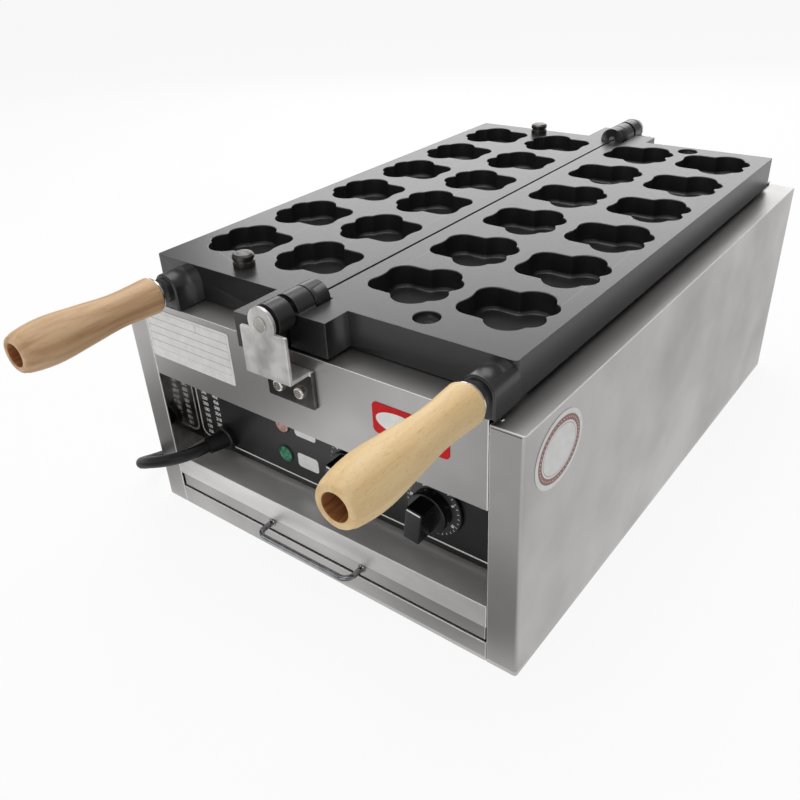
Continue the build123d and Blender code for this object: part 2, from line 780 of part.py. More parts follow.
def print_coil_gap(path):
    """Prints the least gap between the coil and itself, measured on points."""
    count = 900
    points = [path @ (index / count) for index in range(count + 1)]
    spacing = path.length / count
    skip = math.ceil(3 * math.pi * CORD_RADIUS / spacing)
    least = min(
        (points[i] - points[j]).length
        for i in range(count + 1)
        for j in range(i + skip, count + 1)
    )
    print("coil length", round(path.length, 1), "least gap to itself", round(least - 2 * CORD_RADIUS, 2))


def cord_points():
    """The cord's whole route, ending square to the coil's lead."""
    end, direction = coil_joint()
    return CORD_POINTS + [end - direction * COIL_LEAD_RUN, end]


def power_cord():
    """The cord from the strain relief to the coil."""
    points = cord_points()
    runs = [b - a for a, b in zip(points, points[1:])]
    radii = []
    for before, after in zip(runs, runs[1:]):
        half_turn = math.radians(before.get_angle(after)) / 2
        shorter = min(before.length, after.length)
        radii.append(CORD_ARC_SHARE * shorter / math.tan(half_turn))
    path = FilletPolyline(*points, radius=radii)
    cord = tube(path, CORD_RADIUS)
    expected = math.pi * CORD_RADIUS**2 * path.length
    print("cord radii", [round(radius, 1) for radius in radii])
    print("cord runs", [round(run.length, 1) for run in runs])
    print("cord volume over section times length", round(cord.volume / expected, 5))
    return cord


def relief_direction():
    """Direction in which the cord leaves the strain relief."""
    return (CORD_POINTS[1] - CORD_POINTS[0]).normalized()


def strain_relief():
    """Tapered sleeve that holds the cord in the gland."""
    start = CORD_START - relief_direction() * RELIEF_LENGTH
    sleeve = cone_along(
        start, relief_direction(), RELIEF_LENGTH, RELIEF_ROOT_RADIUS, RELIEF_TIP_RADIUS
    )
    behind_panel = box(
        (GLAND_X - 30, GLAND_X + 30), (PANEL_Y, PANEL_Y + 30), (GLAND_Z - 30, GLAND_Z + 30)
    )
    return sleeve - behind_panel


def cable_gland(sleeve):
    """Flange on the panel that holds the sleeve, with a threaded barrel through the panel."""
    flange = cylinder_y(GLAND_X, GLAND_Z, (PANEL_Y - GLAND_DEPTH, PANEL_Y), GLAND_RADIUS)
    flange = chamfer(flange.faces().sort_by(Axis.Y)[0].edges(), 1)
    barrel = cylinder_y(
        GLAND_X, GLAND_Z, (PANEL_Y, PANEL_Y + GLAND_BARREL_LENGTH), GLAND_BARREL_RADIUS
    )
    return flange + barrel - sleeve


def gland_nut():
    """Nut that holds the gland from inside the control box."""
    span = (PANEL_Y + SHEET, PANEL_Y + SHEET + GLAND_NUT_HEIGHT)
    nut = hexagon_y(GLAND_X, GLAND_Z, span, GLAND_NUT_WIDTH)
    return nut - cylinder_y(GLAND_X, GLAND_Z, span, GLAND_BARREL_RADIUS)


def plug_frame(distance):
    """A plane square to the plug's axis, at a distance from the cord's end."""
    end, direction = coil_tail()
    return Plane(origin=end + direction * distance, x_dir=(0, 0, 1), z_dir=direction)


def plug_boot():
    """Tapered boot where the cord enters the plug."""
    boot = plug_frame(0) * Pos(0, 0, PLUG_BOOT_LENGTH / 2) * Cone(
        PLUG_BOOT_TIP_RADIUS, PLUG_BOOT_ROOT_RADIUS, PLUG_BOOT_LENGTH
    )
    return boot


def plug_body():
    """Round plug with a waist, cut flat where it lies on the table."""
    profile = Polyline(
        (0, 0), (PLUG_NECK_RADIUS, 0), (PLUG_NECK_RADIUS + 2, 6), (PLUG_FACE_RADIUS, 15),
        (PLUG_FACE_RADIUS, PLUG_BODY_LENGTH), (0, PLUG_BODY_LENGTH), close=True,
    )
    face = make_face(Plane.XZ * profile)
    body = revolve(face, axis=Axis.Z)
    body = fillet(body.edges().filter_by(GeomType.CIRCLE), 1.5)
    flat_half_height = coil_tail()[0].Z - PLUG_FLOOR_GAP
    trim = Pos(0, 0, PLUG_BODY_LENGTH / 2) * Box(
        2 * flat_half_height, 4 * PLUG_FACE_RADIUS, 2 * PLUG_BODY_LENGTH
    )
    return plug_frame(PLUG_BOOT_LENGTH) * (body & trim)


def plug_pins():
    """The two round pins of the plug."""
    face = plug_frame(PLUG_BOOT_LENGTH + PLUG_BODY_LENGTH)
    pins = []
    for side in (-1, 1):
        place = Pos(0, side * PLUG_PIN_SPACING / 2, PLUG_PIN_LENGTH / 2)
        pin = Cylinder(PLUG_PIN_RADIUS, PLUG_PIN_LENGTH)
        pin = fillet(pin.faces().sort_by(Axis.Z)[-1].edges(), 1)
        pins.append(face * place * pin)
    return pins


# Plates

def point_on(centre, radius, toward):
    """The point on a circle nearest to another point."""
    dx = toward[0] - centre[0]
    dy = toward[1] - centre[1]
    length = math.hypot(dx, dy)
    return (centre[0] + radius * dx / length, centre[1] + radius * dy / length)


def arc_between(centre, radius, start, end, outward):
    """An arc on a circle through the side that faces a direction."""
    bulge = (start[0] + end[0]) / 2 - centre[0], (start[1] + end[1]) / 2 - centre[1]
    if bulge[0] * outward[0] + bulge[1] * outward[1] < 0:
        bulge = (-bulge[0], -bulge[1])
    middle = point_on(centre, radius, (centre[0] + bulge[0], centre[1] + bulge[1]))
    return ThreePointArc(start, middle, end)


def outer_crossing(first, first_reach, second, second_reach):
    """Where two circles cross, on the side of larger Y."""
    dx = second[0] - first[0]
    dy = second[1] - first[1]
    gap = math.hypot(dx, dy)
    along = (first_reach**2 - second_reach**2 + gap**2) / (2 * gap)
    across = math.sqrt(first_reach**2 - along**2)
    middle = (first[0] + along * dx / gap, first[1] + along * dy / gap)
    return (middle[0] - across * dy / gap, middle[1] + across * dx / gap)


def paw_outline():
    """A pad and four toes, with the toes toward +X, from circles joined by small hollow arcs."""
    pad_hollow = (
        PAD_CENTRE[0] - math.sqrt((PAD_RADIUS + PAD_HOLLOW_RADIUS) ** 2 - PAD_CENTRE[1] ** 2),
        0,
    )
    pad_side = PAD_CENTRE[1] + PAD_RADIUS
    side_reach = SIDE_TOE_RADIUS + CUSP_RADIUS
    side_cusp_y = pad_side + CUSP_RADIUS
    side_cusp = (
        SIDE_TOE_CENTRE[0] - math.sqrt(side_reach**2 - (side_cusp_y - SIDE_TOE_CENTRE[1]) ** 2),
        side_cusp_y,
    )
    toe_cusp = outer_crossing(
        SIDE_TOE_CENTRE, side_reach, END_TOE_CENTRE, END_TOE_RADIUS + CUSP_RADIUS
    )
    end_reach = END_TOE_RADIUS + CUSP_RADIUS
    end_cusp = (END_TOE_CENTRE[0] + math.sqrt(end_reach**2 - END_TOE_CENTRE[1] ** 2), 0)

    pad_start = (pad_hollow[0] + PAD_HOLLOW_RADIUS, 0)
    pad_joint = point_on(PAD_CENTRE, PAD_RADIUS, pad_hollow)
    pad_top = (PAD_CENTRE[0], pad_side)
    side_start = (side_cusp[0], pad_side)
    toe_start = point_on(SIDE_TOE_CENTRE, SIDE_TOE_RADIUS, side_cusp)
    toe_end = point_on(SIDE_TOE_CENTRE, SIDE_TOE_RADIUS, toe_cusp)
    end_start = point_on(END_TOE_CENTRE, END_TOE_RADIUS, toe_cusp)
    end_finish = point_on(END_TOE_CENTRE, END_TOE_RADIUS, end_cusp)
    tip = (end_cusp[0] - CUSP_RADIUS, 0)
    half = Curve() + [
        arc_between(pad_hollow, PAD_HOLLOW_RADIUS, pad_start, pad_joint, (1, 0)),
        arc_between(PAD_CENTRE, PAD_RADIUS, pad_joint, pad_top, (-1, 1)),
        Line(pad_top, side_start),
        arc_between(side_cusp, CUSP_RADIUS, side_start, toe_start, (0, -1)),
        arc_between(SIDE_TOE_CENTRE, SIDE_TOE_RADIUS, toe_start, toe_end, (0, 1)),
        arc_between(toe_cusp, CUSP_RADIUS, toe_end, end_start, (-1, -1)),
        arc_between(END_TOE_CENTRE, END_TOE_RADIUS, end_start, end_finish, (1, 0)),
        arc_between(end_cusp, CUSP_RADIUS, end_finish, tip, (-1, 0)),
    ]
    return make_face(half + mirror(half, about=Plane.XZ))


def cavity_tool():
    """The space of one paw cavity, with its rim at height zero and its floor rounded."""
    above = 2
    block = extrude(Pos(0, 0, above) * paw_outline(), amount=-(CAVITY_DEPTH + above))
    floor = block.faces().sort_by(Axis.Z)[0]
    return fillet(floor.edges(), CAVITY_FLOOR_FILLET)


def cavity_places():
    """X and Y of every cavity in the right plate: as many as fit inside the margins."""
    width = PLATE_OUTER - MIDDLE_GAP
    length = PLATE_BACK - PLATE_FRONT
    columns = int((width - 2 * CAVITY_MARGIN) // COLUMN_PITCH) + 1
    rows = int((length - 2 * CAVITY_MARGIN) // ROW_PITCH) + 1
    first_x = paws_middle() - (columns - 1) * COLUMN_PITCH / 2
    first_y = PLATE_FRONT + (length - (rows - 1) * ROW_PITCH) / 2 + BLOCK_SHIFT_Y
    return [
        (first_x + column * COLUMN_PITCH, first_y + row * ROW_PITCH)
        for column in range(columns)
        for row in range(rows)
    ]


def locator_places():
    """Y of the two locating pins."""
    return [PLATE_FRONT + LOCATOR_FRONT_INSET, PLATE_BACK - LOCATOR_REAR_INSET]


def locator_x():
    """X of the locating holes, near the middle between the columns."""
    return paws_middle() + LOCATOR_SHIFT


def hinge_span(end, span):
    """Y limits at the front hinge for -1, or at the rear hinge for 1."""
    edge = PLATE_FRONT if end < 0 else PLATE_BACK
    return (edge + end * span[0], edge + end * span[1])


def slab(side):
    """A plate before its cavities: two rounded corners and a hollow underside."""
    plate = box(
        side_span(side, MIDDLE_GAP, PLATE_OUTER), (PLATE_FRONT, PLATE_BACK), (PLATE_BOTTOM, PLATE_TOP)
    )
    uprights = plate.edges().filter_by(Axis.Z).sort_by(Axis.X)
    outer_pair = uprights[-2:] if side > 0 else uprights[:2]
    plate = fillet(outer_pair, PLATE_CORNER)
    relief = box(
        side_span(side, MIDDLE_GAP + RELIEF_RIM, PLATE_OUTER - RELIEF_RIM),
        (PLATE_FRONT + RELIEF_RIM, PLATE_BACK - RELIEF_RIM),
        (PLATE_BOTTOM - 1, PLATE_BOTTOM + RELIEF_DEPTH),
    )
    relief = fillet(relief.edges().filter_by(Axis.Z), RELIEF_RIM)
    return plate - relief


def hinge_block(side, end):
    """The lump at a plate's edge that carries its knuckles."""
    width, reach = (RIGHT_BLOCK_WIDTH, RIGHT_BLOCK_REACH) if side > 0 else (LEFT_BLOCK_WIDTH, LEFT_BLOCK_REACH)
    return box(
        side_span(side, MIDDLE_GAP, width),
        hinge_span(end, (0, reach)),
        (PLATE_BOTTOM + BLOCK_LIFT, PLATE_TOP),
    )


def knuckle_space(span, end):
    """The room that the other plate's knuckle turns in."""
    grown = (span[0] - KNUCKLE_CLEARANCE, span[1] + KNUCKLE_CLEARANCE)
    return cylinder_y(0, AXIS_Z, hinge_span(end, grown), KNUCKLE_RADIUS + KNUCKLE_CLEARANCE)


def inner_notch(end):
    """The square notch in the right plate round the left plate's inner knuckle."""
    grown = (INNER_KNUCKLE[0] - 3 * KNUCKLE_CLEARANCE, INNER_KNUCKLE[1] + KNUCKLE_CLEARANCE)
    reach = KNUCKLE_RADIUS + NOTCH_MARGIN
    return box((-reach, reach), hinge_span(end, grown), (AXIS_Z - reach, AXIS_Z))


def handle_boss(side, x):
    """The boss and neck at the plate's front that hold the handle's rod."""
    boss_end = PLATE_FRONT - BOSS_LENGTH
    span = (boss_end, PLATE_FRONT + PLATE_CORNER)
    middle = side * x
    round_top = cylinder_y(middle, HANDLE_Z, span, BOSS_RADIUS)
    square_foot = box((middle - BOSS_RADIUS, middle + BOSS_RADIUS), span, (PLATE_BOTTOM, HANDLE_Z))
    boss = round_top + square_foot
    boss = chamfer(boss.faces().sort_by(Axis.Y)[0].edges(), BOSS_CHAMFER)
    neck = cylinder_y(middle, HANDLE_Z, (boss_end - NECK_LENGTH, boss_end), NECK_RADIUS)
    return boss + neck


def rod_hole(side, x):
    """The blind hole for the handle's rod."""
    span = (PLATE_FRONT - BOSS_LENGTH - NECK_LENGTH, PLATE_FRONT)
    return cylinder_y(side * x, HANDLE_Z, span, ROD_RADIUS)


def right_plate():
    """Right plate: paws with their toes to the right, holes for the locating pins."""
    plate = slab(1) + handle_boss(1, RIGHT_HANDLE_X)
    for end in (-1, 1):
        knuckle = cylinder_y(0, AXIS_Z, hinge_span(end, MIDDLE_KNUCKLE), KNUCKLE_RADIUS)
        plate = plate + hinge_block(1, end) + knuckle - inner_notch(end)
        bore = hinge_span(end, (INNER_KNUCKLE[0], LEFT_BLOCK_REACH))
        plate -= cylinder_y(0, AXIS_Z, bore, PIN_RADIUS + PIN_CLEARANCE)
    tool = cavity_tool()
    tools = [Pos(x, y, PLATE_TOP) * tool for x, y in cavity_places()]
    depth = LOCATOR_HEIGHT + LOCATOR_BOTTOM_GAP
    for y in locator_places():
        radius = LOCATOR_RADIUS + LOCATOR_CLEARANCE
        tools.append(cylinder_z(locator_x(), y, (PLATE_TOP - depth, PLATE_TOP + 1), radius))
    return plate - tools - rod_hole(1, RIGHT_HANDLE_X)


def left_plate():
    """Left plate: the mirror of the right one, with two knuckles at each end."""
    plate = slab(-1) + handle_boss(-1, LEFT_HANDLE_X)
    for end in (-1, 1):
        plate = plate + hinge_block(-1, end) - knuckle_space(MIDDLE_KNUCKLE, end)
        for span in (INNER_KNUCKLE, OUTER_KNUCKLE):
            plate += cylinder_y(0, AXIS_Z, hinge_span(end, span), KNUCKLE_RADIUS)
        bore = hinge_span(end, (INNER_KNUCKLE[0], LEFT_BLOCK_REACH))
        plate -= cylinder_y(0, AXIS_Z, bore, PIN_RADIUS + PIN_CLEARANCE)
    tool = mirror(cavity_tool(), about=Plane.YZ)
    tools = [Pos(-x, y, PLATE_TOP) * tool for x, y in cavity_places()]
    for y in locator_places():
        span = (PLATE_TOP - LOCATOR_STUB_LENGTH, PLATE_TOP)
        tools.append(cylinder_z(-locator_x(), y, span, LOCATOR_STUB_RADIUS))
    return plate - tools - rod_hole(-1, LEFT_HANDLE_X)


def locating_pins():
    """Two grooved studs that enter the right plate's holes."""
    studs = []
    x = -locator_x()
    for y in locator_places():
        stud = cylinder_z(x, y, (PLATE_TOP, PLATE_TOP + LOCATOR_HEIGHT), LOCATOR_RADIUS)
        stud = chamfer(stud.faces().sort_by(Axis.Z)[-1].edges(), LOCATOR_CHAMFER)
        middle = PLATE_TOP + LOCATOR_HEIGHT / 2
        groove_span = (middle - LOCATOR_GROOVE_HEIGHT / 2, middle + LOCATOR_GROOVE_HEIGHT / 2)
        ring = cylinder_z(x, y, groove_span, LOCATOR_RADIUS + 1)
        ring -= cylinder_z(x, y, groove_span, LOCATOR_RADIUS - LOCATOR_GROOVE)
        stub = cylinder_z(x, y, (PLATE_TOP - LOCATOR_STUB_LENGTH, PLATE_TOP), LOCATOR_STUB_RADIUS)
        studs.append(stud - ring + stub)
    return studs


# Hinge brackets and pins

def bracket_face(end):
    """Y of the case sheet that a hinge bracket stands on."""
    return FRONT if end < 0 else BACK


def bracket_web(end):
    """Y limits of the upright web of a hinge bracket."""
    return hinge_span(end, (BRACKET_REACH - BRACKET_THICKNESS, BRACKET_REACH))


def hinge_bracket(end):
    """Foot on the case, a step outwards and a web with a round head for the pin."""
    face = bracket_face(end)
    web_span = bracket_web(end)
    outer = web_span[1]
    foot_bottom = BRACKET_TOP_Z - BRACKET_FOOT_HEIGHT
    foot_span = (face, face + end * BRACKET_THICKNESS)
    foot_width = (-BRACKET_FOOT_HALF_WIDTH, BRACKET_FOOT_HALF_WIDTH)
    web_width = (-BRACKET_WEB_HALF_WIDTH, BRACKET_WEB_HALF_WIDTH)
    foot = box(foot_width, foot_span, (foot_bottom, BRACKET_TOP_Z))
    foot = fillet(foot.edges().filter_by(Axis.Y).sort_by(Axis.Z)[:2], 2)
    step = box(web_width, (face, outer), (BRACKET_TOP_Z - BRACKET_THICKNESS, BRACKET_TOP_Z))
    web_top = AXIS_Z - BRACKET_WEB_TOP_DROP
    web = box(web_width, web_span, (BRACKET_TOP_Z - BRACKET_THICKNESS, web_top))
    web = fillet(web.edges().filter_by(Axis.Y).sort_by(Axis.Z)[2:], 1.5)
    head = cylinder_y(0, AXIS_Z, web_span, BRACKET_HEAD_RADIUS)
    pin_hole = cylinder_y(0, AXIS_Z, web_span, PIN_RADIUS)
    holes = [cylinder_y(x, z, foot_span, SCREW_RADIUS) for x, z in screw_places()]
    return foot + step + web + head - pin_hole - holes


def hinge_pin(end):
    """Pin through the bracket's head and all the knuckles, with a flat head outside."""
    shank_end = INNER_KNUCKLE[0] + 1
    shank = cylinder_y(0, AXIS_Z, hinge_span(end, (shank_end, BRACKET_REACH)), PIN_RADIUS)
    head_span = hinge_span(end, (BRACKET_REACH, BRACKET_REACH + PIN_HEAD_HEIGHT))
    return shank + cylinder_y(0, AXIS_Z, head_span, PIN_HEAD_RADIUS)


def bracket_screws():
    """Round-headed socket screws in the bracket feet, with nuts inside the case."""
    screws = []
    for end in (-1, 1):
        face = bracket_face(end)
        foot = face + end * BRACKET_THICKNESS
        top = foot + end * SCREW_HEAD_HEIGHT
        inside = face - end * SHEET
        for x, z in screw_places():
            head = cylinder_y(x, z, (foot, top), SCREW_HEAD_RADIUS)
            rim = head.faces().sort_by(Axis.Y)[0 if end < 0 else -1].edges()
            head = fillet(rim, SCREW_HEAD_HEIGHT / 2)
            socket_span = (top - end * SCREW_SOCKET_DEPTH, top)
            head -= hexagon_y(x, z, socket_span, SCREW_SOCKET_WIDTH)
            nut_end = inside - end * SCREW_NUT_HEIGHT
            shank = cylinder_y(x, z, (foot, nut_end - end), SCREW_RADIUS)
            nut = hexagon_y(x, z, (inside, nut_end), SCREW_NUT_WIDTH)
            screws.append(head + shank + nut)
    return screws


# Handles

def neck_end():
    """Y of the neck's front, where the washer sits."""
    return PLATE_FRONT - BOSS_LENGTH - NECK_LENGTH


def handle_washer(x):
    """Washer between the neck and the wooden handle."""
    span = (neck_end() - WASHER_THICKNESS, neck_end())
    return cylinder_y(x, HANDLE_Z, span, WASHER_RADIUS) - cylinder_y(x, HANDLE_Z, span, ROD_RADIUS)


def wooden_handle(x):
    """Turned handle with a waist and a belly, bored for the rod and its nut."""
    start = neck_end() - WASHER_THICKNESS
    curve = Spline(
        (HANDLE_INNER_RADIUS, 0),
        (HANDLE_WAIST[1], HANDLE_WAIST[0]),
        (HANDLE_SWELL[1], HANDLE_SWELL[0]),
        (HANDLE_BELLY[1], HANDLE_BELLY[0]),
        (HANDLE_TAIL[1], HANDLE_TAIL[0]),
        (HANDLE_END_RADIUS, HANDLE_LENGTH),
        tangents=((0.1, 1), (-1, 1)),
    )
    sides = Polyline((HANDLE_END_RADIUS, HANDLE_LENGTH), (0, HANDLE_LENGTH), (0, 0), (HANDLE_INNER_RADIUS, 0))
    profile = make_face(Curve() + [curve, sides])
    turned = revolve(Plane.XZ * profile, axis=Axis.Z)
    inner_rim = turned.faces().sort_by(Axis.Z)[0].edges()
    turned = fillet(inner_rim, 2.5)
    bore = Pos(0, 0, HANDLE_LENGTH / 2) * Cylinder(ROD_RADIUS + HANDLE_BORE_CLEARANCE, HANDLE_LENGTH)
    pocket = Pos(0, 0, HANDLE_LENGTH - COUNTERBORE_DEPTH / 2) * Cylinder(
        COUNTERBORE_RADIUS, COUNTERBORE_DEPTH
    )
    turned = turned - bore - pocket
    return Plane(origin=(x, start, HANDLE_Z), z_dir=(0, -1, 0)) * turned


def nut_seat():
    """Y of the counterbore's floor, where the nut sits."""
    return neck_end() - WASHER_THICKNESS - HANDLE_LENGTH + COUNTERBORE_DEPTH


def handle_rod(x):
    """Rod from the boss through the wood to just past its nut."""
    end = nut_seat() - HANDLE_NUT_HEIGHT - ROD_PAST_NUT
    return cylinder_y(x, HANDLE_Z, (end, PLATE_FRONT), ROD_RADIUS)


def handle_nut(x):
    """Nut at the floor of the handle's counterbore."""
    span = (nut_seat() - HANDLE_NUT_HEIGHT, nut_seat())
    return hexagon_y(x, HANDLE_Z, span, HANDLE_NUT_WIDTH) - cylinder_y(x, HANDLE_Z, span, ROD_RADIUS)


# Crumb tray

def tray_front():
    """Y limits of the crumb tray's front plate."""
    start = FRONT + TRAY_FRONT_SETBACK
    return (start, start + SHEET)


def tray_pan_back():
    """Y of the crumb tray's rear wall."""
    return BACK - TRAY_REAR_GAP


def handle_ends():
    """X of the two ends of the crumb tray's handle."""
    return (-TRAY_HANDLE_CENTRES / 2, TRAY_HANDLE_CENTRES / 2)


def crumb_tray():
    """Shallow tray behind a front plate."""
    y0, y1 = tray_front()
    front_half = INNER_HALF - TRAY_FRONT_SIDE_GAP
    half = INNER_HALF - TRAY_SIDE_GAP
    top = TRAY_FRONT_BOTTOM + TRAY_SIDE_HEIGHT
    plate = box((-front_half, front_half), (y0, y1), (TRAY_FRONT_BOTTOM, TRAY_FRONT_TOP))
    pan = box((-half, half), (y1, tray_pan_back()), (TRAY_FRONT_BOTTOM, top))
    pan -= box(
        (-half + TRAY_SHEET, half - TRAY_SHEET),
        (y1 + TRAY_SHEET, tray_pan_back() - TRAY_SHEET),
        (TRAY_FRONT_BOTTOM + TRAY_SHEET, top + 1),
    )
    z = TRAY_FRONT_BOTTOM + TRAY_HANDLE_RISE
    holes = [cylinder_y(x, z, (y0 - 1, y1 + TRAY_SHEET), SCREW_RADIUS - 1) for x in handle_ends()]
    return plate + pan - holes


def tray_handle():
    """Bent rod handle on the tray's front plate."""
    y0 = tray_front()[0]
    z = TRAY_FRONT_BOTTOM + TRAY_HANDLE_RISE
    x0, x1 = handle_ends()
    reach = y0 - TRAY_HANDLE_REACH
    path = FilletPolyline((x0, y0, z), (x0, reach, z), (x1, reach, z), (x1, y0, z), radius=TRAY_HANDLE_BEND)
    return tube(path, TRAY_HANDLE_RADIUS)


def tray_handle_screws():
    """Screws from inside the tray into the ends of the handle."""
    y0, y1 = tray_front()
    inside = y1 + TRAY_SHEET
    z = TRAY_FRONT_BOTTOM + TRAY_HANDLE_RISE
    screws = []
    for x in handle_ends():
        shank = cylinder_y(x, z, (y0, inside), SCREW_RADIUS - 1)
        screws.append(shank + cylinder_y(x, z, (inside, inside + SCREW_HEAD_HEIGHT), SCREW_RADIUS + 1))
    return screws


# Plates and stickers on the case

def rating_plate_limits():
    """X and Z limits of the plate near the front panel's upper left corner."""
    x0 = RATING_PLATE_SIDE_GAP - PANEL_HALF
    z1 = CASE_HEIGHT - RATING_PLATE_DROP
    return (x0, x0 + RATING_PLATE_WIDTH, z1 - RATING_PLATE_HEIGHT, z1)


def front_sticker(limits, corner):
    """A thin rounded rectangle on the front panel."""
    x0, x1, z0, z1 = limits
    sticker = box((x0, x1), (FRONT - BADGE_THICKNESS, FRONT), (z0, z1))
    return fillet(sticker.edges().filter_by(Axis.Y), corner)


def side_badge():
    """A thin oval on the right wall."""
    half_length, half_height = SIDE_BADGE_HALF_SIZES
    plane = Plane(origin=at(HALF_WIDTH, SIDE_BADGE_BEHIND, SIDE_BADGE_Z), x_dir=(0, 1, 0), z_dir=(1, 0, 0))
    return extrude(plane * Ellipse(half_length, half_height), amount=BADGE_THICKNESS)


# Export

def build():
    """All nodes by name."""
    sleeve = strain_relief()
    coil, coil_path = cord_coil()
    print_coil_gap(coil_path)
    inner, outer = element_middles()
    return {
        "left_side_wall": side_wall(-1),
        "right_side_wall": side_wall(1),
        "left_liner": liner(-1),
        "right_liner": liner(1),
        "base_pan": base_pan(),
        "front_panel": front_panel(),
        "back_panel": back_panel(),
        "control_shelf": control_shelf(),
        "control_panel": control_panel(),
        "heat_shield": heat_shield(),
        "tray_runners": tray_runners(),
        "element_rails": element_rails(),
        "rating_plate": front_sticker(rating_plate_limits(), BADGE_CORNER / 2),
        "front_badge": front_sticker(FRONT_BADGE, BADGE_CORNER),
        "side_badge": side_badge(),
        "left_inner_element": heating_element(-inner),
        "left_outer_element": heating_element(-outer),
        "right_inner_element": heating_element(inner),
        "right_outer_element": heating_element(outer),
        "element_nuts": element_nuts(),
        "element_terminals": element_terminals(),
        "thermostat_bulb": thermostat_bulb(),
        "thermostat_capillary": thermostat_capillary(),
        "thermostat_body": control_body(THERMOSTAT_X, THERMOSTAT_Z, THERMOSTAT_BODY),
        "thermostat_shaft": control_shaft(THERMOSTAT_X, THERMOSTAT_Z),
        "thermostat_knob": knob(THERMOSTAT_X, THERMOSTAT_Z),
        "timer_body": control_body(TIMER_X, TIMER_Z, TIMER_BODY),
        "timer_shaft": control_shaft(TIMER_X, TIMER_Z),
        "timer_knob": knob(TIMER_X, TIMER_Z),
        "lamp_bodies": [lamp_body(x, z) for x, z in lamp_axes()],
        "green_lamp_lens": lamp_lens(LAMP_X, GREEN_LAMP_Z),
        "red_lamp_lens": lamp_lens(LAMP_X, RED_LAMP_Z),
        "terminal_block": terminal_block(),
        "control_wires": control_wires(),
        "cable_gland": cable_gland(sleeve),
        "gland_nut": gland_nut(),
        "strain_relief": sleeve,
        "power_cord": power_cord(),
        "cord_coil": coil,
        "plug_boot": plug_boot(),
        "plug_body": plug_body(),
        "plug_pins": plug_pins(),
        "crumb_tray": crumb_tray(),
        "tray_handle": tray_handle(),
        "tray_handle_screws": tray_handle_screws(),
        "front_hinge_bracket": hinge_bracket(-1),
        "rear_hinge_bracket": hinge_bracket(1),
        "hinge_pins": [hinge_pin(-1), hinge_pin(1)],
        "bracket_screws": bracket_screws(),
        "left_plate": left_plate(),
        "right_plate": right_plate(),
        "locating_pins": locating_pins(),
        "left_handle_rod": handle_rod(-LEFT_HANDLE_X),
        "left_handle_washer": handle_washer(-LEFT_HANDLE_X),
        "left_handle": wooden_handle(-LEFT_HANDLE_X),
        "left_handle_nut": handle_nut(-LEFT_HANDLE_X),
        "right_handle_rod": handle_rod(RIGHT_HANDLE_X),
        "right_handle_washer": handle_washer(RIGHT_HANDLE_X),
        "right_handle": wooden_handle(RIGHT_HANDLE_X),
        "right_handle_nut": handle_nut(RIGHT_HANDLE_X),
    }


def main():
    """Writes one file for each node."""
    os.makedirs("parts", exist_ok=True)
    for name, shape in build().items():
        if isinstance(shape, list):
            shape = Compound(children=[Part(piece.wrapped) for piece in shape])
        export_step(shape, f"parts/{name}.step")


if __name__ == "__main__":
    main()
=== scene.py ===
import json
import math

import bpy
from bpy.props import (
    FloatProperty,
    FloatVectorProperty,
    IntProperty,
    PointerProperty,
    StringProperty,
)
from mathutils import Matrix, Vector

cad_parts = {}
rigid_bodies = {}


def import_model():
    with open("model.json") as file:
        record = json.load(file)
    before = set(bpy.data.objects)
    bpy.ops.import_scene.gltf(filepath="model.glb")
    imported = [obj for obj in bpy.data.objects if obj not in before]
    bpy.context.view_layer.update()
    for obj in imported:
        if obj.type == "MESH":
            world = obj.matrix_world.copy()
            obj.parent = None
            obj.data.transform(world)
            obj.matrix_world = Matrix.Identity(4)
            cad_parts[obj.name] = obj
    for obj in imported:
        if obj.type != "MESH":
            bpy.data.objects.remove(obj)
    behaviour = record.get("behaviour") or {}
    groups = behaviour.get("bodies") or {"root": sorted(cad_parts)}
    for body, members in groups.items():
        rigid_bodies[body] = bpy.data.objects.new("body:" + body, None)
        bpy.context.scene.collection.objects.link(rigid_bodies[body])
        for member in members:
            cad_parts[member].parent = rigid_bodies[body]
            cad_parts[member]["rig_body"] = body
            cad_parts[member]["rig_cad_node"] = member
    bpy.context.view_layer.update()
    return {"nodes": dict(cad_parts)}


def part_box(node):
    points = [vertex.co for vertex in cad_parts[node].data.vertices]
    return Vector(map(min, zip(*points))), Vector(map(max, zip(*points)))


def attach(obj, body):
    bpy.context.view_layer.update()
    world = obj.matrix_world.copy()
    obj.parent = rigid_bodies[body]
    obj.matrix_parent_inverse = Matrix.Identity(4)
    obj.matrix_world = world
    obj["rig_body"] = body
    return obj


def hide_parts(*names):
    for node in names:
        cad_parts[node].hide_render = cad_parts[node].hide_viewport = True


bl_info = {
    "name": "Paw Waffle Maker",
    "version": (1, 0, 0),
    "blender": (4, 5, 0),
    "location": "3D View > Sidebar > Waffle Maker",
    "description": "Builds the looks of a waffle maker with two plates of paw-shaped cavities",
    "category": "Object",
}

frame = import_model()


# Settings

def in_metres(name, about, value):
    """A setting that is a length."""
    return FloatProperty(name=name, description=about, default=value, unit="LENGTH")


def in_degrees(name, about, value):
    """A setting that is an angle, with its default in degrees."""
    return FloatProperty(
        name=name, description=about, default=math.radians(value), subtype="ANGLE",
    )


def in_watts(name, about, value):
    """A setting that is a light's power."""
    return FloatProperty(name=name, description=about, default=value, unit="POWER")


def as_number(name, about, value):
    """A setting that is a plain number."""
    return FloatProperty(name=name, description=about, default=value)


def as_colour(name, about, value):
    """A setting that is an sRGB hex colour."""
    return StringProperty(name=name, description=about, default=value)


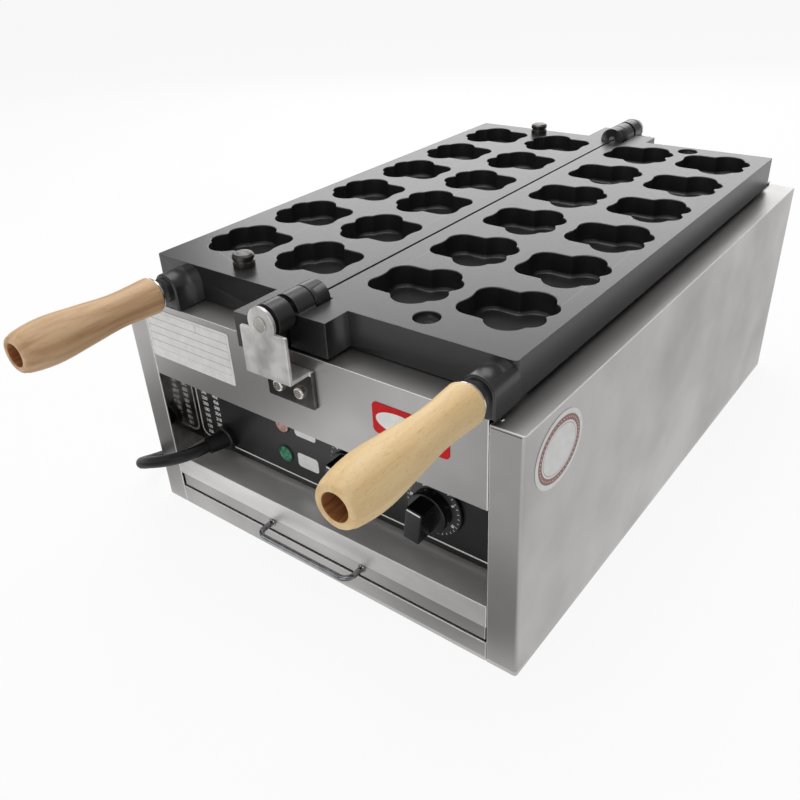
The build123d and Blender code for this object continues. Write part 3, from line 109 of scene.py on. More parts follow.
class StageSettings(bpy.types.PropertyGroup):
    camera_place: FloatVectorProperty(
        name="Camera place", description="Where the camera stands",
        default=(0.3696, -0.6034, 0.4611), subtype="XYZ", unit="LENGTH",
    )
    camera_turn: in_degrees("Camera turn", "How far round to the right the camera stands", 38.996)
    camera_tilt: in_degrees("Camera tilt", "How far the camera looks down", 31.447)
    camera_roll: in_degrees("Camera roll", "How far the picture leans", -3.061)
    lens: as_number("Lens", "Focal length in millimetres on a 36 mm wide picture", 36.772)
    floor_colour: as_colour("Floor", "Colour of the floor", "#FAFAFA")
    floor_white: as_number("Floor white", "How much of the floor is plain white", 0.9)
    sky_strength: as_number("Room light", "Strength of the light from all round", 0.4)
    softbox_power: in_watts("Softbox", "Power of the large light overhead", 16)
    rear_power: in_watts("Rear light", "Power of the long light behind on the left", 11)
    front_power: in_watts("Front light", "Power of the low light in front", 2.5)
    fill_power: in_watts("Fill", "Power of the light in front on the left", 2)


class CordSettings(bpy.types.PropertyGroup):
    radius: in_metres("Cord radius", "Half the cord's thickness", 0.0052)
    length: in_metres("Cord length", "Length from the gland to the plug", 1.573)
    turns: as_number("Coil turns", "Turns in the coil that is put away", 3.5)
    points_a_turn: IntProperty(
        name="Points a turn", description="Control points in each turn", default=16, min=12,
    )
    colour: as_colour("Cord colour", "Colour of the cord's sheath", "#121112")


class MetalSettings(bpy.types.PropertyGroup):
    sheet_dark: as_colour("Sheet, dark", "Darker tone of the case's sheet", "#ABA9A8")
    sheet_light: as_colour("Sheet, light", "Lighter tone of the case's sheet", "#C0BEBD")
    polished: as_colour("Polished", "Colour of the polished steel", "#CFCCCB")
    edge: in_metres("Folded edge", "Rounding of the sheets' edges", 0.00055)


class PlateSettings(bpy.types.PropertyGroup):
    colour: as_colour("Plates", "Colour of the plates' coating", "#232223")
    rim: in_metres("Rim", "Rounding of the cavities' rims", 0.0008)
    edge: in_metres("Plate edge", "Rounding of the plates' outer edges", 0.0003)


class WoodSettings(bpy.types.PropertyGroup):
    light: as_colour("Wood, light", "Colour between the grain", "#F6D8A4")
    dark: as_colour("Wood, dark", "Colour of the grain", "#E9C48C")
    bore: as_colour("Wood, bore", "Colour of the scorched bore", "#8A5230")


class PrintSettings(bpy.types.PropertyGroup):
    line: in_metres("Line", "Width of the printed border", 0.0014)
    digit: in_metres("Digits", "Height of the printed digits", 0.0046)
    ink: as_colour("Ink", "Colour of the printing on the panel", "#FAFAF9")


GROUPS = {
    "waffle_stage": StageSettings,
    "waffle_cord": CordSettings,
    "waffle_metal": MetalSettings,
    "waffle_plate": PlateSettings,
    "waffle_wood": WoodSettings,
    "waffle_print": PrintSettings,
}


# Shader nodes

def linear(colour):
    """An sRGB hex colour as linear red, green, blue and alpha."""
    parts = [int(colour[i:i + 2], 16) / 255 for i in (1, 3, 5)]
    parts = [p / 12.92 if p <= 0.04045 else ((p + 0.055) / 1.055) ** 2.4 for p in parts]
    return (*parts, 1.0)


def add_node(tree, kind, settings=None, links=None):
    """Adds a node with its settings and what is linked to its inputs."""
    node = tree.nodes.new(kind)
    for key, value in (settings or {}).items():
        if key == "ramp":
            stops = node.color_ramp.elements
            for index, (place, colour) in enumerate(value):
                stop = stops[index] if index < 2 else stops.new(place)
                stop.position = place
                stop.color = linear(colour)
        elif isinstance(key, int) or key in node.inputs:
            node.inputs[key].default_value = value
        else:
            setattr(node, key, value)
    for key, source in (links or {}).items():
        tree.links.new(source, node.inputs[key])
    return node


def stretched(tree, place, scale):
    """Coordinates multiplied by a scale for each axis."""
    node = add_node(tree, "ShaderNodeMapping", {"Scale": scale}, {"Vector": place})
    return node.outputs["Vector"]


def noise(tree, place, scale, detail=2, distortion=0, roughness=0.5):
    """A cloudy value."""
    settings = {"Scale": scale, "Detail": detail, "Distortion": distortion, "Roughness": roughness}
    return add_node(tree, "ShaderNodeTexNoise", settings, {"Vector": place}).outputs["Fac"]


def ramp(tree, source, *stops):
    """A value as a colour between stops of (value, colour)."""
    return add_node(tree, "ShaderNodeValToRGB", {"ramp": stops}, {"Fac": source}).outputs["Color"]


def spread(tree, source, low, high, to_low, to_high):
    """A value moved from one range to another."""
    spans = {"From Min": low, "From Max": high, "To Min": to_low, "To Max": to_high}
    return add_node(tree, "ShaderNodeMapRange", spans, {"Value": source}).outputs["Result"]


def bump(tree, height, strength, distance, under=None, **settings):
    """Relief over the surface, or over the relief under it."""
    settings.update({"Strength": strength, "Distance": distance})
    links = {"Height": height, "Normal": under} if under else {"Height": height}
    return add_node(tree, "ShaderNodeBump", settings, links).outputs["Normal"]


def greater(tree, first, second):
    """The greater of two values."""
    node = add_node(tree, "ShaderNodeMath", {"operation": "MAXIMUM"}, {0: first, 1: second})
    return node.outputs["Value"]


def blend(tree, share, first, second):
    """Shows a blend of two shaders."""
    both = add_node(tree, "ShaderNodeMixShader", {}, {0: share, 1: first, 2: second})
    tree.links.new(both.outputs["Shader"], tree.nodes["Material Output"].inputs["Surface"])


def dress(tree, shader, colour, roughness=None, normal=None):
    """Links a shader's colour and, if given, its roughness and relief."""
    for name, source in (("Base Color", colour), ("Roughness", roughness), ("Normal", normal)):
        if source:
            tree.links.new(source, shader.inputs[name])


# Materials

def start_material(name, values):
    """A material with values on its shader. Gives it, its tree, shader and object coordinates."""
    material = bpy.data.materials.new(name)
    material.use_nodes = True
    tree = material.node_tree
    shader = tree.nodes["Principled BSDF"]
    for socket, value in values.items():
        shader.inputs[socket].default_value = value
    place = tree.nodes.new("ShaderNodeTexCoord").outputs["Object"]
    return material, tree, shader, place


def clouded(name, values, cloud, tones, haze=None, relief=None, stretch=None):
    """A material whose tone, roughness and relief follow one noise."""
    material, tree, shader, place = start_material(name, values)
    if stretch:
        place = stretched(tree, place, stretch)
    source = noise(tree, place, *cloud)
    dress(
        tree, shader, ramp(tree, source, *tones),
        spread(tree, source, *haze) if haze else None,
        bump(tree, source, *relief) if relief else None,
    )
    return material


def metal_finish(name, dark, light, roughness, scale, relief=0.1):
    """A metal with two close tones in a fine cloud and a faint grain. Each use says what it is."""
    return clouded(
        name, {"Metallic": 1.0}, (scale, 3), ((0.35, dark), (0.65, light)),
        (0.3, 0.7, roughness * 1.25, roughness * 0.8), (relief, 0.00005),
    )


def plain_finish(name, dark, light, roughness, scale, values=None, relief=0.1, depth=0.00005):
    """A plastic, paint or rubber with two close tones and a grain. Each use says what it is."""
    return clouded(
        name, {"IOR": 1.5, **(values or {})}, (scale, 3), ((0.35, dark), (0.65, light)),
        (0.3, 0.7, roughness * 0.85, roughness * 1.15), (relief, depth),
    )


def satin_stainless():
    """Cold-rolled stainless sheet: soft grey reflections, cloudy from handling, slightly wavy."""
    metal = bpy.context.scene.waffle_metal
    material, tree, shader, place = start_material("satin stainless sheet", {"Metallic": 1.0})
    clouds = noise(tree, place, 9, 3, roughness=0.55)
    tone = ramp(tree, clouds, (0.32, metal.sheet_dark), (0.68, metal.sheet_light))
    haze = spread(tree, clouds, 0.3, 0.7, 0.42, 0.33)
    # Rolling marks are 0.2 mm apart on the real sheet. They are drawn 0.8 mm apart to show.
    marks = noise(tree, stretched(tree, place, (1250, 30, 1250)), 1)
    fine = bump(tree, marks, 0.08, 0.00005)
    waves = noise(tree, place, 14, 1)
    dress(tree, shader, tone, haze, bump(tree, waves, 0.35, 0.0007, fine))
    return material


def coated_casting():
    """Cast aluminium under a baked non-stick coat: near black, a soft sheen and a fine grit."""
    plate = bpy.context.scene.waffle_plate
    material, tree, shader, place = start_material(
        "non-stick coated casting",
        {"IOR": 1.5, "Specular IOR Level": 0.55, "Coat Weight": 0.25, "Coat Roughness": 0.3},
    )
    tone = ramp(tree, noise(tree, place, 22), (0.3, "#1B1A1B"), (0.7, plate.colour))
    # The grit is about 0.3 mm. It is drawn at 0.8 mm so that it shows.
    grit = noise(tree, place, 1250, roughness=0.6)
    haze = spread(tree, grit, 0.25, 0.75, 0.3, 0.4)
    dress(tree, shader, tone, haze, bump(tree, grit, 0.08, 0.00005))
    return material


def turned_beech(name, dark, light):
    """Turned and sanded beech: pale, with short dark flecks and faint bands along the length."""
    material, tree, shader, place = start_material(name, {"IOR": 1.5, "Specular IOR Level": 0.4})
    # Growth bands about 3 mm apart, drawn out along the handle.
    bands = noise(tree, stretched(tree, place, (150, 5, 150)), 1, 3, 0.4)
    tone = ramp(tree, bands, (0.3, dark), (0.62, light))
    # Flecks 0.5 mm wide and 3 mm long.
    flecks = noise(tree, stretched(tree, place, (1500, 220, 1500)), 1, 1)
    mixed = add_node(
        tree, "ShaderNodeMix", {"data_type": "RGBA", 7: linear("#A8733F")},
        {0: spread(tree, flecks, 0.6, 0.72, 0.0, 0.22), 6: tone},
    )
    relief = bump(tree, flecks, 0.15, 0.00008, invert=True)
    dress(tree, shader, mixed.outputs[2], spread(tree, bands, 0.3, 0.7, 0.5, 0.4), relief)
    return material


def make_materials():
    """All finishes by a short name."""
    scene = bpy.context.scene
    wood = scene.waffle_wood
    ink = scene.waffle_print.ink
    cord = scene.waffle_cord.colour
    film = {"Coat Weight": 0.3, "Coat Roughness": 0.15}
    acrylic = {
        "Transmission Weight": 0.25, "Coat Weight": 0.6, "Coat Roughness": 0.05,
        "Emission Strength": 0.15,
    }
    return {
        "sheet": satin_stainless(),
        # Buffed stainless: near mirror, with wavy, blotchy reflections.
        "polished": clouded(
            "polished stainless", {"Metallic": 1.0}, (75, 2, 0.6),
            ((0.36, "#A9A6A5"), (0.62, scene.waffle_metal.polished)),
            (0.3, 0.7, 0.16, 0.07), (0.25, 0.0004),
        ),
        # Shelf and strip under the controls: duller, less metallic, in soft streaks; their
        # near-white tone is painted light.
        "shelf_painted_light": clouded(
            "shelf sheet with painted light", {"Metallic": 0.55, "IOR": 1.5}, (1, 3),
            ((0.3, "#CFCDCC"), (0.68, "#F0EEED")), (0.3, 0.7, 0.4, 0.3), stretch=(12, 30, 30),
        ),
        # Folded and cut edges of the sheets, near white: a painted highlight that draws the thin
        # light lines.
        "edge_painted_highlight": plain_finish(
            "sheet edge with painted highlight", "#F2F1F0", "#FCFBFA", 0.4, 90, {"Metallic": 0.35}, 0.05,
        ),
        # Web of the hinge brackets: soft and cloudy, in light tones that are painted light.
        "bracket": plain_finish(
            "bracket web with painted light", "#BDBAB9", "#EDEBEA", 0.34, 55, {"Metallic": 0.55},
        ),
        # Foot of the hinge brackets: dark tones that are painted shade and a painted dark
        # reflection.
        "foot": metal_finish("bracket foot with painted shade", "#4E4C4C", "#75716F", 0.16, 60, 0.2),
        "casting": coated_casting(),
        # Rims and edges of the castings: a little lighter as a painted highlight, and glossier.
        "rim_painted_highlight": plain_finish(
            "rims with painted highlight", "#343334", "#454344", 0.3, 60, {"Specular IOR Level": 0.7}, 0.05,
        ),
        "wood": turned_beech("turned beech", wood.dark, wood.light),
        # Redder wood of the left handle.
        "red_wood": turned_beech("turned beech, redder", "#BB9068", "#DFBC93"),
        # The drilled bore: end grain that is reddish brown and dull.
        "bore": clouded(
            "bored beech", {"Roughness": 0.75, "Specular IOR Level": 0.2}, (1, 2),
            ((0.3, wood.bore), (0.7, "#B27C4C")), stretch=(500, 60, 500),
        ),
        # Chromium plate over a bent rod: a clear dark and light mirror.
        "chrome": metal_finish("chromium plated rod", "#85868A", "#A6A7AA", 0.12, 90),
        # Bright zinc on fasteners: pale, slightly dull.
        "zinc": metal_finish("bright zinc plate", "#C9C6BF", "#E2E0DA", 0.2, 300, 0.15),
        # Oiled steel, grey with a dull shine.
        "steel": metal_finish("oiled dark steel", "#4A4846", "#6A6764", 0.34, 260, 0.2),
        # Galvanised strip inside the case: pale spangle.
        "galvanised": metal_finish("galvanised strip", "#8E9296", "#B2B5B8", 0.42, 60, 0.15),
        # Heat-tinted tube of a heating element: brown grey and dull.
        "element": metal_finish("heat tinted element tube", "#4B423B", "#6B5C50", 0.48, 120, 0.2),
        # Bulb and capillary: drawn tube, soft red shine.
        "copper": metal_finish("drawn copper", "#A9623F", "#C27E57", 0.3, 200),
        # Nuts and plug pins: turned, yellow.
        "brass": metal_finish("turned brass", "#B08A45", "#CBA863", 0.28, 200),
        # Powder coat on the control panel: black with a fine orange peel.
        "panel": plain_finish(
            "black powder coat", "#141415", "#1B1B1D", 0.34, 900, None, 0.12, 0.00006,
        ),
        # Face of the knobs' flat skirts: charcoal, duller than the grips.
        "skirt": plain_finish(
            "dull moulded skirt", "#222123", "#2B2A2C", 0.38, 900,
            {"Specular IOR Level": 0.7}, 0.12,
        ),
        # Moulded phenolic knobs: glossy black with a faint mould texture.
        "phenolic": plain_finish(
            "black moulded phenolic", "#0E0E0F", "#161617", 0.24, 1100, None, 0.1, 0.00004,
        ),
        # Nylon of glands and lamp bodies: black, satin.
        "nylon": plain_finish(
            "black moulded nylon", "#121213", "#1C1C1E", 0.4, 800, None, 0.15,
        ),
        # Rubber sheath of the mains cord: soft black with a dull sheen.
        "rubber": plain_finish(
            "rubber cord sheath", "#0B0A0B", cord, 0.42, 600,
            {"Specular IOR Level": 0.35}, 0.15, 0.00006,
        ),
        # White phenolic of the switch bodies and terminal block.
        "white_plastic": plain_finish("off-white moulded plastic", "#D8D5CC", "#E6E3DB", 0.42, 500),
        # Silicone sleeves of the wires: dull brick red.
        "wire": plain_finish("silicone wire sleeve", "#8E2E26", "#A4382E", 0.5, 500),
        # Painted shade: a near-black strip where a folded seam's gap lies in shade.
        "seam": plain_finish("folded seam painted shade", "#0B0B0B", "#141414", 0.7, 500),
        # Screen printing ink: flat white.
        "ink": plain_finish("white screen ink", "#F2F2F1", ink, 0.55, 700),
        # Vinyl stickers and what is printed on them: smooth with a light gloss.
        "vinyl": plain_finish("white vinyl sticker", "#ECECEB", "#F6F6F5", 0.36, 140, film),
        "red": plain_finish(
            "red vinyl sticker", "#C6060F", "#DA0C18", 0.5, 140, {"Specular IOR Level": 0.25},
        ),
        "brown": plain_finish("brown printing on vinyl", "#7E3B31", "#96503F", 0.4, 500, film),
        "rule": plain_finish("grey printed rules", "#6E6E6E", "#858585", 0.45, 500),
        # Acrylic lamp lenses: coloured, clear gloss, glowing a little.
        "green_lens": plain_finish(
            "green acrylic lens", "#04593B", "#0F8A5F", 0.12, 400,
            {**acrylic, "Emission Color": linear("#0F8A5F")},
        ),
        "red_lens": plain_finish(
            "faded red acrylic lens", "#A8705F", "#D6B0A4", 0.14, 400,
            {**acrylic, "Emission Color": linear("#C8968C")},
        ),
    }


finishes = {}


# Tools for making pieces

def deselect_all():
    """Leaves edit mode with nothing selected."""
    if bpy.context.object and bpy.context.object.mode != "OBJECT":
        bpy.ops.object.mode_set(mode="OBJECT")
    bpy.ops.object.select_all(action="DESELECT")


def pick(*objects):
    """Selects these objects alone and makes the first one active."""
    deselect_all()
    for item in objects:
        item.select_set(True)
    bpy.context.view_layer.objects.active = objects[0]


def start_edit(piece):
    """Starts editing a piece with everything in it selected."""
    pick(piece)
    bpy.ops.object.mode_set(mode="EDIT")
    bpy.ops.mesh.select_all(action="SELECT")


def end_edit():
    """Leaves edit mode."""
    bpy.ops.object.mode_set(mode="OBJECT")


def apply_place():
    """Puts the selected piece's place, turn and size into its mesh."""
    bpy.ops.object.transform_apply(location=True, rotation=True, scale=True)


def give_finishes(piece, *names):
    """Gives a piece these finishes in its material slots."""
    piece.data.materials.clear()
    for name in names:
        piece.data.materials.append(finishes[name])


def settle(piece, name, body, finish=None, stands_for=()):
    """Gives a piece its name and body, its finishes unless it has them, and a settled place."""
    pick(piece)
    apply_place()
    piece.name = name
    piece.data.name = name
    if finish:
        give_finishes(piece, *([finish] if isinstance(finish, str) else finish))
    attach(piece, body)
    if stands_for:
        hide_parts(*stands_for)
    return piece


def smooth(piece, degrees=40):
    """Shades a piece smooth across edges below an angle."""
    pick(piece)
    bpy.ops.object.shade_smooth_by_angle(angle=math.radians(degrees))


def even_shading(piece):
    """Shades flats flat and the rounds between them round."""
    pick(piece)
    bpy.ops.object.shade_smooth()
    bpy.ops.object.modifier_add(type="WEIGHTED_NORMAL")
    weighted = piece.modifiers[-1]
    weighted.keep_sharp = False
    bpy.ops.object.modifier_apply(modifier=weighted.name)


def round_edges(piece, width, segments=2, degrees=35, edge_slot=-1):
    """Rounds a piece's sharp edges and shades it evenly."""
    pick(piece)
    bpy.ops.object.modifier_add(type="BEVEL")
    bevel = piece.modifiers[-1]
    bevel.width = width
    bevel.segments = segments
    bevel.limit_method = "ANGLE"
    bevel.angle_limit = math.radians(degrees)
    bevel.use_clamp_overlap = False
    bevel.material = edge_slot
    bpy.ops.object.modifier_apply(modifier=bevel.name)
    even_shading(piece)


def plain_copy(node):
    """A copy of a CAD node with its triangles merged into faces."""
    pick(frame["nodes"][node])
    bpy.ops.object.duplicate()
    piece = bpy.context.object
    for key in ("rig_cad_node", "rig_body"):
        del piece[key]
    piece.parent = None
    bpy.ops.mesh.customdata_custom_splitnormals_clear()
    start_edit(piece)
    bpy.ops.mesh.remove_doubles(threshold=0.000002)
    bpy.ops.mesh.dissolve_limited(angle_limit=math.radians(0.2))
    end_edit()
    return piece


def worked_copy(node, width, segments=2, own=()):
    """A copy of a CAD node with rounded edges. Own names finishes for it and for its edges."""
    piece = plain_copy(node)
    if own:
        give_finishes(piece, *own)
    round_edges(piece, width, segments, edge_slot=1 if own else -1)
    return piece


def select_outer_edges(piece, degrees, test):
    """Starts editing with the edges selected that stick out sharply and whose ends pass a test."""
    end_edit()
    mesh = piece.data
    beside = {}
    for face in mesh.polygons:
        face.select = False
        for key in face.edge_keys:
            beside.setdefault(key, []).append(face)
    for point in mesh.vertices:
        point.select = False
    for edge in mesh.edges:
        edge.select = False
        faces = beside.get(edge.key, [])
        if len(faces) != 2 or faces[0].normal.angle(faces[1].normal, 0) < math.radians(degrees):
            continue
        first, second = faces
        corners = list(first.vertices)
        following = corners[(corners.index(edge.vertices[0]) + 1) % len(corners)]
        if following != edge.vertices[1]:
            first, second = second, first
        ends = [mesh.vertices[i].co for i in edge.vertices]
        sticks_out = (ends[1] - ends[0]).dot(first.normal.cross(second.normal)) > 0
        edge.select = sticks_out and all(test(end) for end in ends)
    bpy.ops.object.mode_set(mode="EDIT")
    bpy.ops.mesh.select_mode(type="EDGE")


def select_faces(piece, test):
    """Goes on editing with the faces selected whose middle and normal pass a test."""
    end_edit()
    for face in piece.data.polygons:
        face.select = bool(test(face.center, face.normal))
    bpy.ops.object.mode_set(mode="EDIT")


def turned(outline, origin, steps=64):
    """Turns a closed outline of (distance forwards, radius) about a line along Y."""
    x, y, z = origin
    deselect_all()
    start, radius = outline[0]
    bpy.ops.mesh.primitive_plane_add(size=0.001, location=(x, y - start, z + radius))
    piece = bpy.context.object
    start_edit(piece)
    bpy.ops.mesh.merge(type="CENTER")
    for (a, r), (b, s) in zip(outline, outline[1:] + outline[:1]):
        bpy.ops.mesh.extrude_region_move(TRANSFORM_OT_translate={"value": (0, a - b, s - r)})
    bpy.ops.mesh.select_all(action="SELECT")
    bpy.ops.mesh.spin(steps=steps, angle=2 * math.pi, center=(x, y, z), axis=(0, 1, 0))
    bpy.ops.mesh.select_all(action="SELECT")
    bpy.ops.mesh.remove_doubles(threshold=0.000005)
    bpy.ops.mesh.normals_make_consistent(inside=False)
    end_edit()
    return piece


def quarter_round(end, radius, rim):
    """Points of an outline that rounds the corner at a distance forwards and a radius."""
    return [
        (end - rim + rim * math.sin(a), radius - rim + rim * math.cos(a))
        for a in (0, math.pi / 8, math.pi / 4, 3 * math.pi / 8, math.pi / 2)
    ]


def block(x_span, y_span, z_span):
    """A cuboid between two limits on each axis, ready to be shaped."""
    deselect_all()
    spans = (x_span, y_span, z_span)
    bpy.ops.mesh.primitive_cube_add(size=1, location=[(a + b) / 2 for a, b in spans])
    piece = bpy.context.object
    piece.scale = [abs(b - a) for a, b in spans]
    apply_place()
    return piece


def upright_sheet(x_span, z_span, y):
    """A flat face that looks forwards, ready to be shaped."""
    deselect_all()
    middle = (sum(x_span) / 2, y, sum(z_span) / 2)
    bpy.ops.mesh.primitive_plane_add(size=1, location=middle, rotation=(math.pi / 2, 0, 0))
    sheet = bpy.context.object
    sheet.scale = (x_span[1] - x_span[0], z_span[1] - z_span[0], 1)
    apply_place()
    return sheet


def flat_oval(place, halves, turn, vertices=72):
    """A flat filled oval."""
    deselect_all()
    bpy.ops.mesh.primitive_circle_add(
        vertices=vertices, radius=1, fill_type="NGON", location=place, rotation=turn,
    )
    oval = bpy.context.object
    oval.scale = (*halves, 1)
    apply_place()
    return oval


def cut_corners(piece, width, segments=1, affect="EDGES"):
    """Bevels all edges of a piece, or the corners of a flat one."""
    start_edit(piece)
    bpy.ops.mesh.bevel(offset=width, segments=segments, affect=affect)
    end_edit()


def leave_outline(sheet, width):
    """Leaves only the outline of a flat piece."""
    start_edit(sheet)
    bpy.ops.mesh.inset(thickness=width, use_boundary=True)
    bpy.ops.mesh.delete(type="FACE")
    end_edit()


def inlaid_bar(x_span, front, z_span):
    """A thin bar with broken edges that stands a little out of a front face."""
    bar = block(x_span, (front - 0.00012, front + 0.0004), z_span)
    cut_corners(bar, 0.0001)
    return bar


def join(pieces):
    """Joins pieces into the first one."""
    pick(*pieces)
    bpy.ops.object.join()
    return pieces[0]


def printed_text(words, size, place, spacing=1.0):
    """Flat characters that look forwards, as a mesh."""
    deselect_all()
    bpy.ops.object.text_add(location=place, rotation=(math.pi / 2, 0, 0))
    text = bpy.context.object
    text.data.body = words
    text.data.size = size
    text.data.align_x = "CENTER"
    text.data.space_line = spacing
    text.data.offset = 0.0002
    bpy.ops.object.convert(target="MESH")
    apply_place()
    return bpy.context.object


# Stage

# Each card's centre, half width and half depth, and how dark it is.
SHADE_CARDS = (
    ((-0.28, -0.50), (0.17, 0.32), 0.85),
    ((0.03, -0.57), (0.11, 0.14), 0.95),
    ((0.12, -0.33), (0.14, 0.10), 0.7),
    ((0.55, 0.10), (0.50, 0.65), 0.2),
)
CARD_HEIGHT = 0.003
CARD_STEP = 0.0005


class WAFFLE_OT_stage(bpy.types.Operator):
    """Adds the floor, the lights and the camera"""

    bl_idname = "waffle.stage"
    bl_label = "Floor, lights and camera"

    def execute(self, context):
        stage = context.scene.waffle_stage
        context.scene.view_settings.view_transform = "Standard"
        self.add_camera(context, stage)
        deselect_all()
        bpy.ops.mesh.primitive_plane_add(size=30, location=(0, 0, 0))
        floor = context.object
        floor.name = "studio_floor"
        floor.data.materials.append(self.floor_material(stage))
        self.add_room(context, stage)
        self.add_lights(context, stage)
        self.add_shade_cards(context)
        return {"FINISHED"}

    def add_camera(self, context, stage):
        """A camera at the photograph's viewing angle."""
        deselect_all()
        place = Vector(stage.camera_place)
        bpy.ops.object.camera_add(location=place)
        camera = context.object
        turn = Matrix.Rotation(stage.camera_turn, 4, "Z")
        tilt = Matrix.Rotation(math.pi / 2 - stage.camera_tilt, 4, "X")
        roll = Matrix.Rotation(stage.camera_roll, 4, "Z")
        camera.matrix_world = Matrix.Translation(place) @ turn @ tilt @ roll
        camera.data.sensor_width = 36
        camera.data.lens = stage.lens
        camera.data.clip_start = 0.01
        context.scene.camera = camera

    def floor_material(self, stage):
        """A pale floor, nearly white to the camera and mirrors, with the object's shadow on it."""
        material, tree, shader, place = start_material(
            "pale studio floor", {"Roughness": 0.9, "Specular IOR Level": 0.1},
        )
        dress(tree, shader, ramp(
            tree, noise(tree, place, 3), (0.3, "#F6F6F5"), (0.7, stage.floor_colour),
        ))
        rays = tree.nodes.new("ShaderNodeLightPath").outputs
        mirrored = greater(tree, rays["Is Glossy Ray"], rays["Is Transmission Ray"])
        share = add_node(
            tree, "ShaderNodeMath", {"operation": "MULTIPLY", 1: stage.floor_white},
            {0: greater(tree, rays["Is Camera Ray"], mirrored)},
        )
        white = add_node(tree, "ShaderNodeEmission", {"Strength": 1.0})
        blend(tree, share.outputs["Value"], shader.outputs["BSDF"], white.outputs["Emission"])
        return material

    def add_room(self, context, stage):
        """A pale room that is plain white where the camera sees it."""
        world = bpy.data.worlds.new("studio room")
        context.scene.world = world
        world.use_nodes = True
        tree = world.node_tree
        background = tree.nodes["Background"]
        direction = tree.nodes.new("ShaderNodeTexCoord").outputs["Generated"]
        height = add_node(tree, "ShaderNodeSeparateXYZ", {}, {"Vector": direction})
        sky = ramp(
            tree, spread(tree, height.outputs["Z"], -1.0, 1.0, 0.0, 1.0),
            (0.45, "#BDBDBD"), (0.62, "#F4F4F4"), (1.0, "#FFFFFF"),
        )
        rays = tree.nodes.new("ShaderNodeLightPath").outputs
        direct = greater(tree, rays["Is Camera Ray"], rays["Is Transmission Ray"])
        colour = add_node(
            tree, "ShaderNodeMix", {"data_type": "RGBA", 7: linear("#FFFFFF")},
            {0: direct, 6: sky},
        )
        strength = add_node(
            tree, "ShaderNodeMix", {"data_type": "FLOAT", 2: stage.sky_strength, 3: 1.0},
            {0: direct},
        )
        tree.links.new(colour.outputs[2], background.inputs["Color"])
        tree.links.new(strength.outputs[0], background.inputs["Strength"])

    def add_lights(self, context, stage):
        """Four soft lights: each has a place, what it points at, a size and a power."""
        for name, place, target, size, power in (
            ("softbox_overhead", (-0.3, 0.2, 1.75), (0, 0, 0.1), (1.5, 1.5), stage.softbox_power),
            ("softbox_rear_left", (-0.85, 1.5, 0.85), (0, 0, 0.2), (2.0, 0.8), stage.rear_power),
            ("front_low", (0.25, -1.6, 0.5), (0, -0.2, 0.1), (1.0, 0.6), stage.front_power),
            ("fill_front_left", (-1.3, -1.5, 0.9), (0, -0.1, 0.12), (0.9, 0.9), stage.fill_power),
        ):
            deselect_all()
            bpy.ops.object.light_add(type="AREA", location=place)
            light = context.object
            light.name = name
            light.data.shape = "RECTANGLE"
            light.data.size, light.data.size_y = size
            light.data.energy = power
            light.rotation_mode = "QUATERNION"
            direction = Vector(target) - Vector(place)
            light.rotation_quaternion = direction.to_track_quat("-Z", "Y")

    def add_shade_cards(self, context):
        """Dark cards with soft edges over the floor that only mirrors see: they shade the steel."""
        for index, (centre, half, shade) in enumerate(SHADE_CARDS):
            deselect_all()
            height = CARD_HEIGHT + CARD_STEP * index
            bpy.ops.mesh.primitive_plane_add(size=2, location=(*centre, height))
            card = context.object
            card.name = f"shade_card_{index + 1}"
            card.scale = (*half, 1)
            material, tree, shader, place = start_material(
                f"dark shade card {index + 1}", {"Base Color": linear("#0A0A0A"), "Roughness": 1.0},
            )
            out = add_node(tree, "ShaderNodeVectorMath", {"operation": "LENGTH"}, {0: place})
            density = spread(tree, out.outputs["Value"], 0.45, 1.0, shade, 0.0)
            clear = tree.nodes.new("ShaderNodeBsdfTransparent")
            blend(tree, density, clear.outputs["BSDF"], shader.outputs["BSDF"])
            card.data.materials.append(material)
            card.visible_camera = False
            card.visible_diffuse = False
            card.visible_shadow = False
            card.visible_transmission = False


# Mains cord

CORD_ROUTE = (
    (-0.1295, -0.2535, 0.0665),
    (-0.1340, -0.2674, 0.0649),
    (-0.1440, -0.2784, 0.0619),
    (-0.1576, -0.2840, 0.0570),
    (-0.1745, -0.2856, 0.0502),
    (-0.1925, -0.2826, 0.0403),
    (-0.2085, -0.2720, 0.0288),
    (-0.2195, -0.2555, 0.0176),
    (-0.2250, -0.2350, 0.0093),
    (-0.2260, -0.2115, 0.0054),
    (-0.2230, -0.1850, 0.0053),
    (-0.2175, -0.1590, 0.0053),
    (-0.2130, -0.1340, 0.0053),
    (-0.2104, -0.1090, 0.0053),
)
COIL_CENTRE = (-0.275, -0.050)
COIL_OUTER = 0.0654
COIL_PITCH = 0.0112
COIL_FLOOR = 0.0053
COIL_LAYER_TURNS = 1.5
COIL_CLIMB_TURNS = 0.5
COIL_LEAD_RUN = 0.024


def coil_place(turn, stretch=1.0):
    """A point of the coil, in one layer and out in the next. Stretch grows it from its centre."""
    inner = COIL_OUTER - COIL_LAYER_TURNS * COIL_PITCH
    climbed = COIL_LAYER_TURNS + COIL_CLIMB_TURNS
    if turn <= COIL_LAYER_TURNS:
        radius, rise = COIL_OUTER - COIL_PITCH * turn, 0
    elif turn < climbed:
        share = (turn - COIL_LAYER_TURNS) / COIL_CLIMB_TURNS
        radius = inner - COIL_PITCH * 0.5 * share * (1 - share)
        rise = COIL_PITCH * (1 - math.cos(math.pi * share)) / 2
    else:
        radius, rise = inner + COIL_PITCH * (turn - climbed), COIL_PITCH
    angle = 2 * math.pi * turn
    return Vector((
        COIL_CENTRE[0] + stretch * radius * math.cos(angle),
        COIL_CENTRE[1] + stretch * radius * math.sin(angle),
        COIL_FLOOR + rise,
    ))


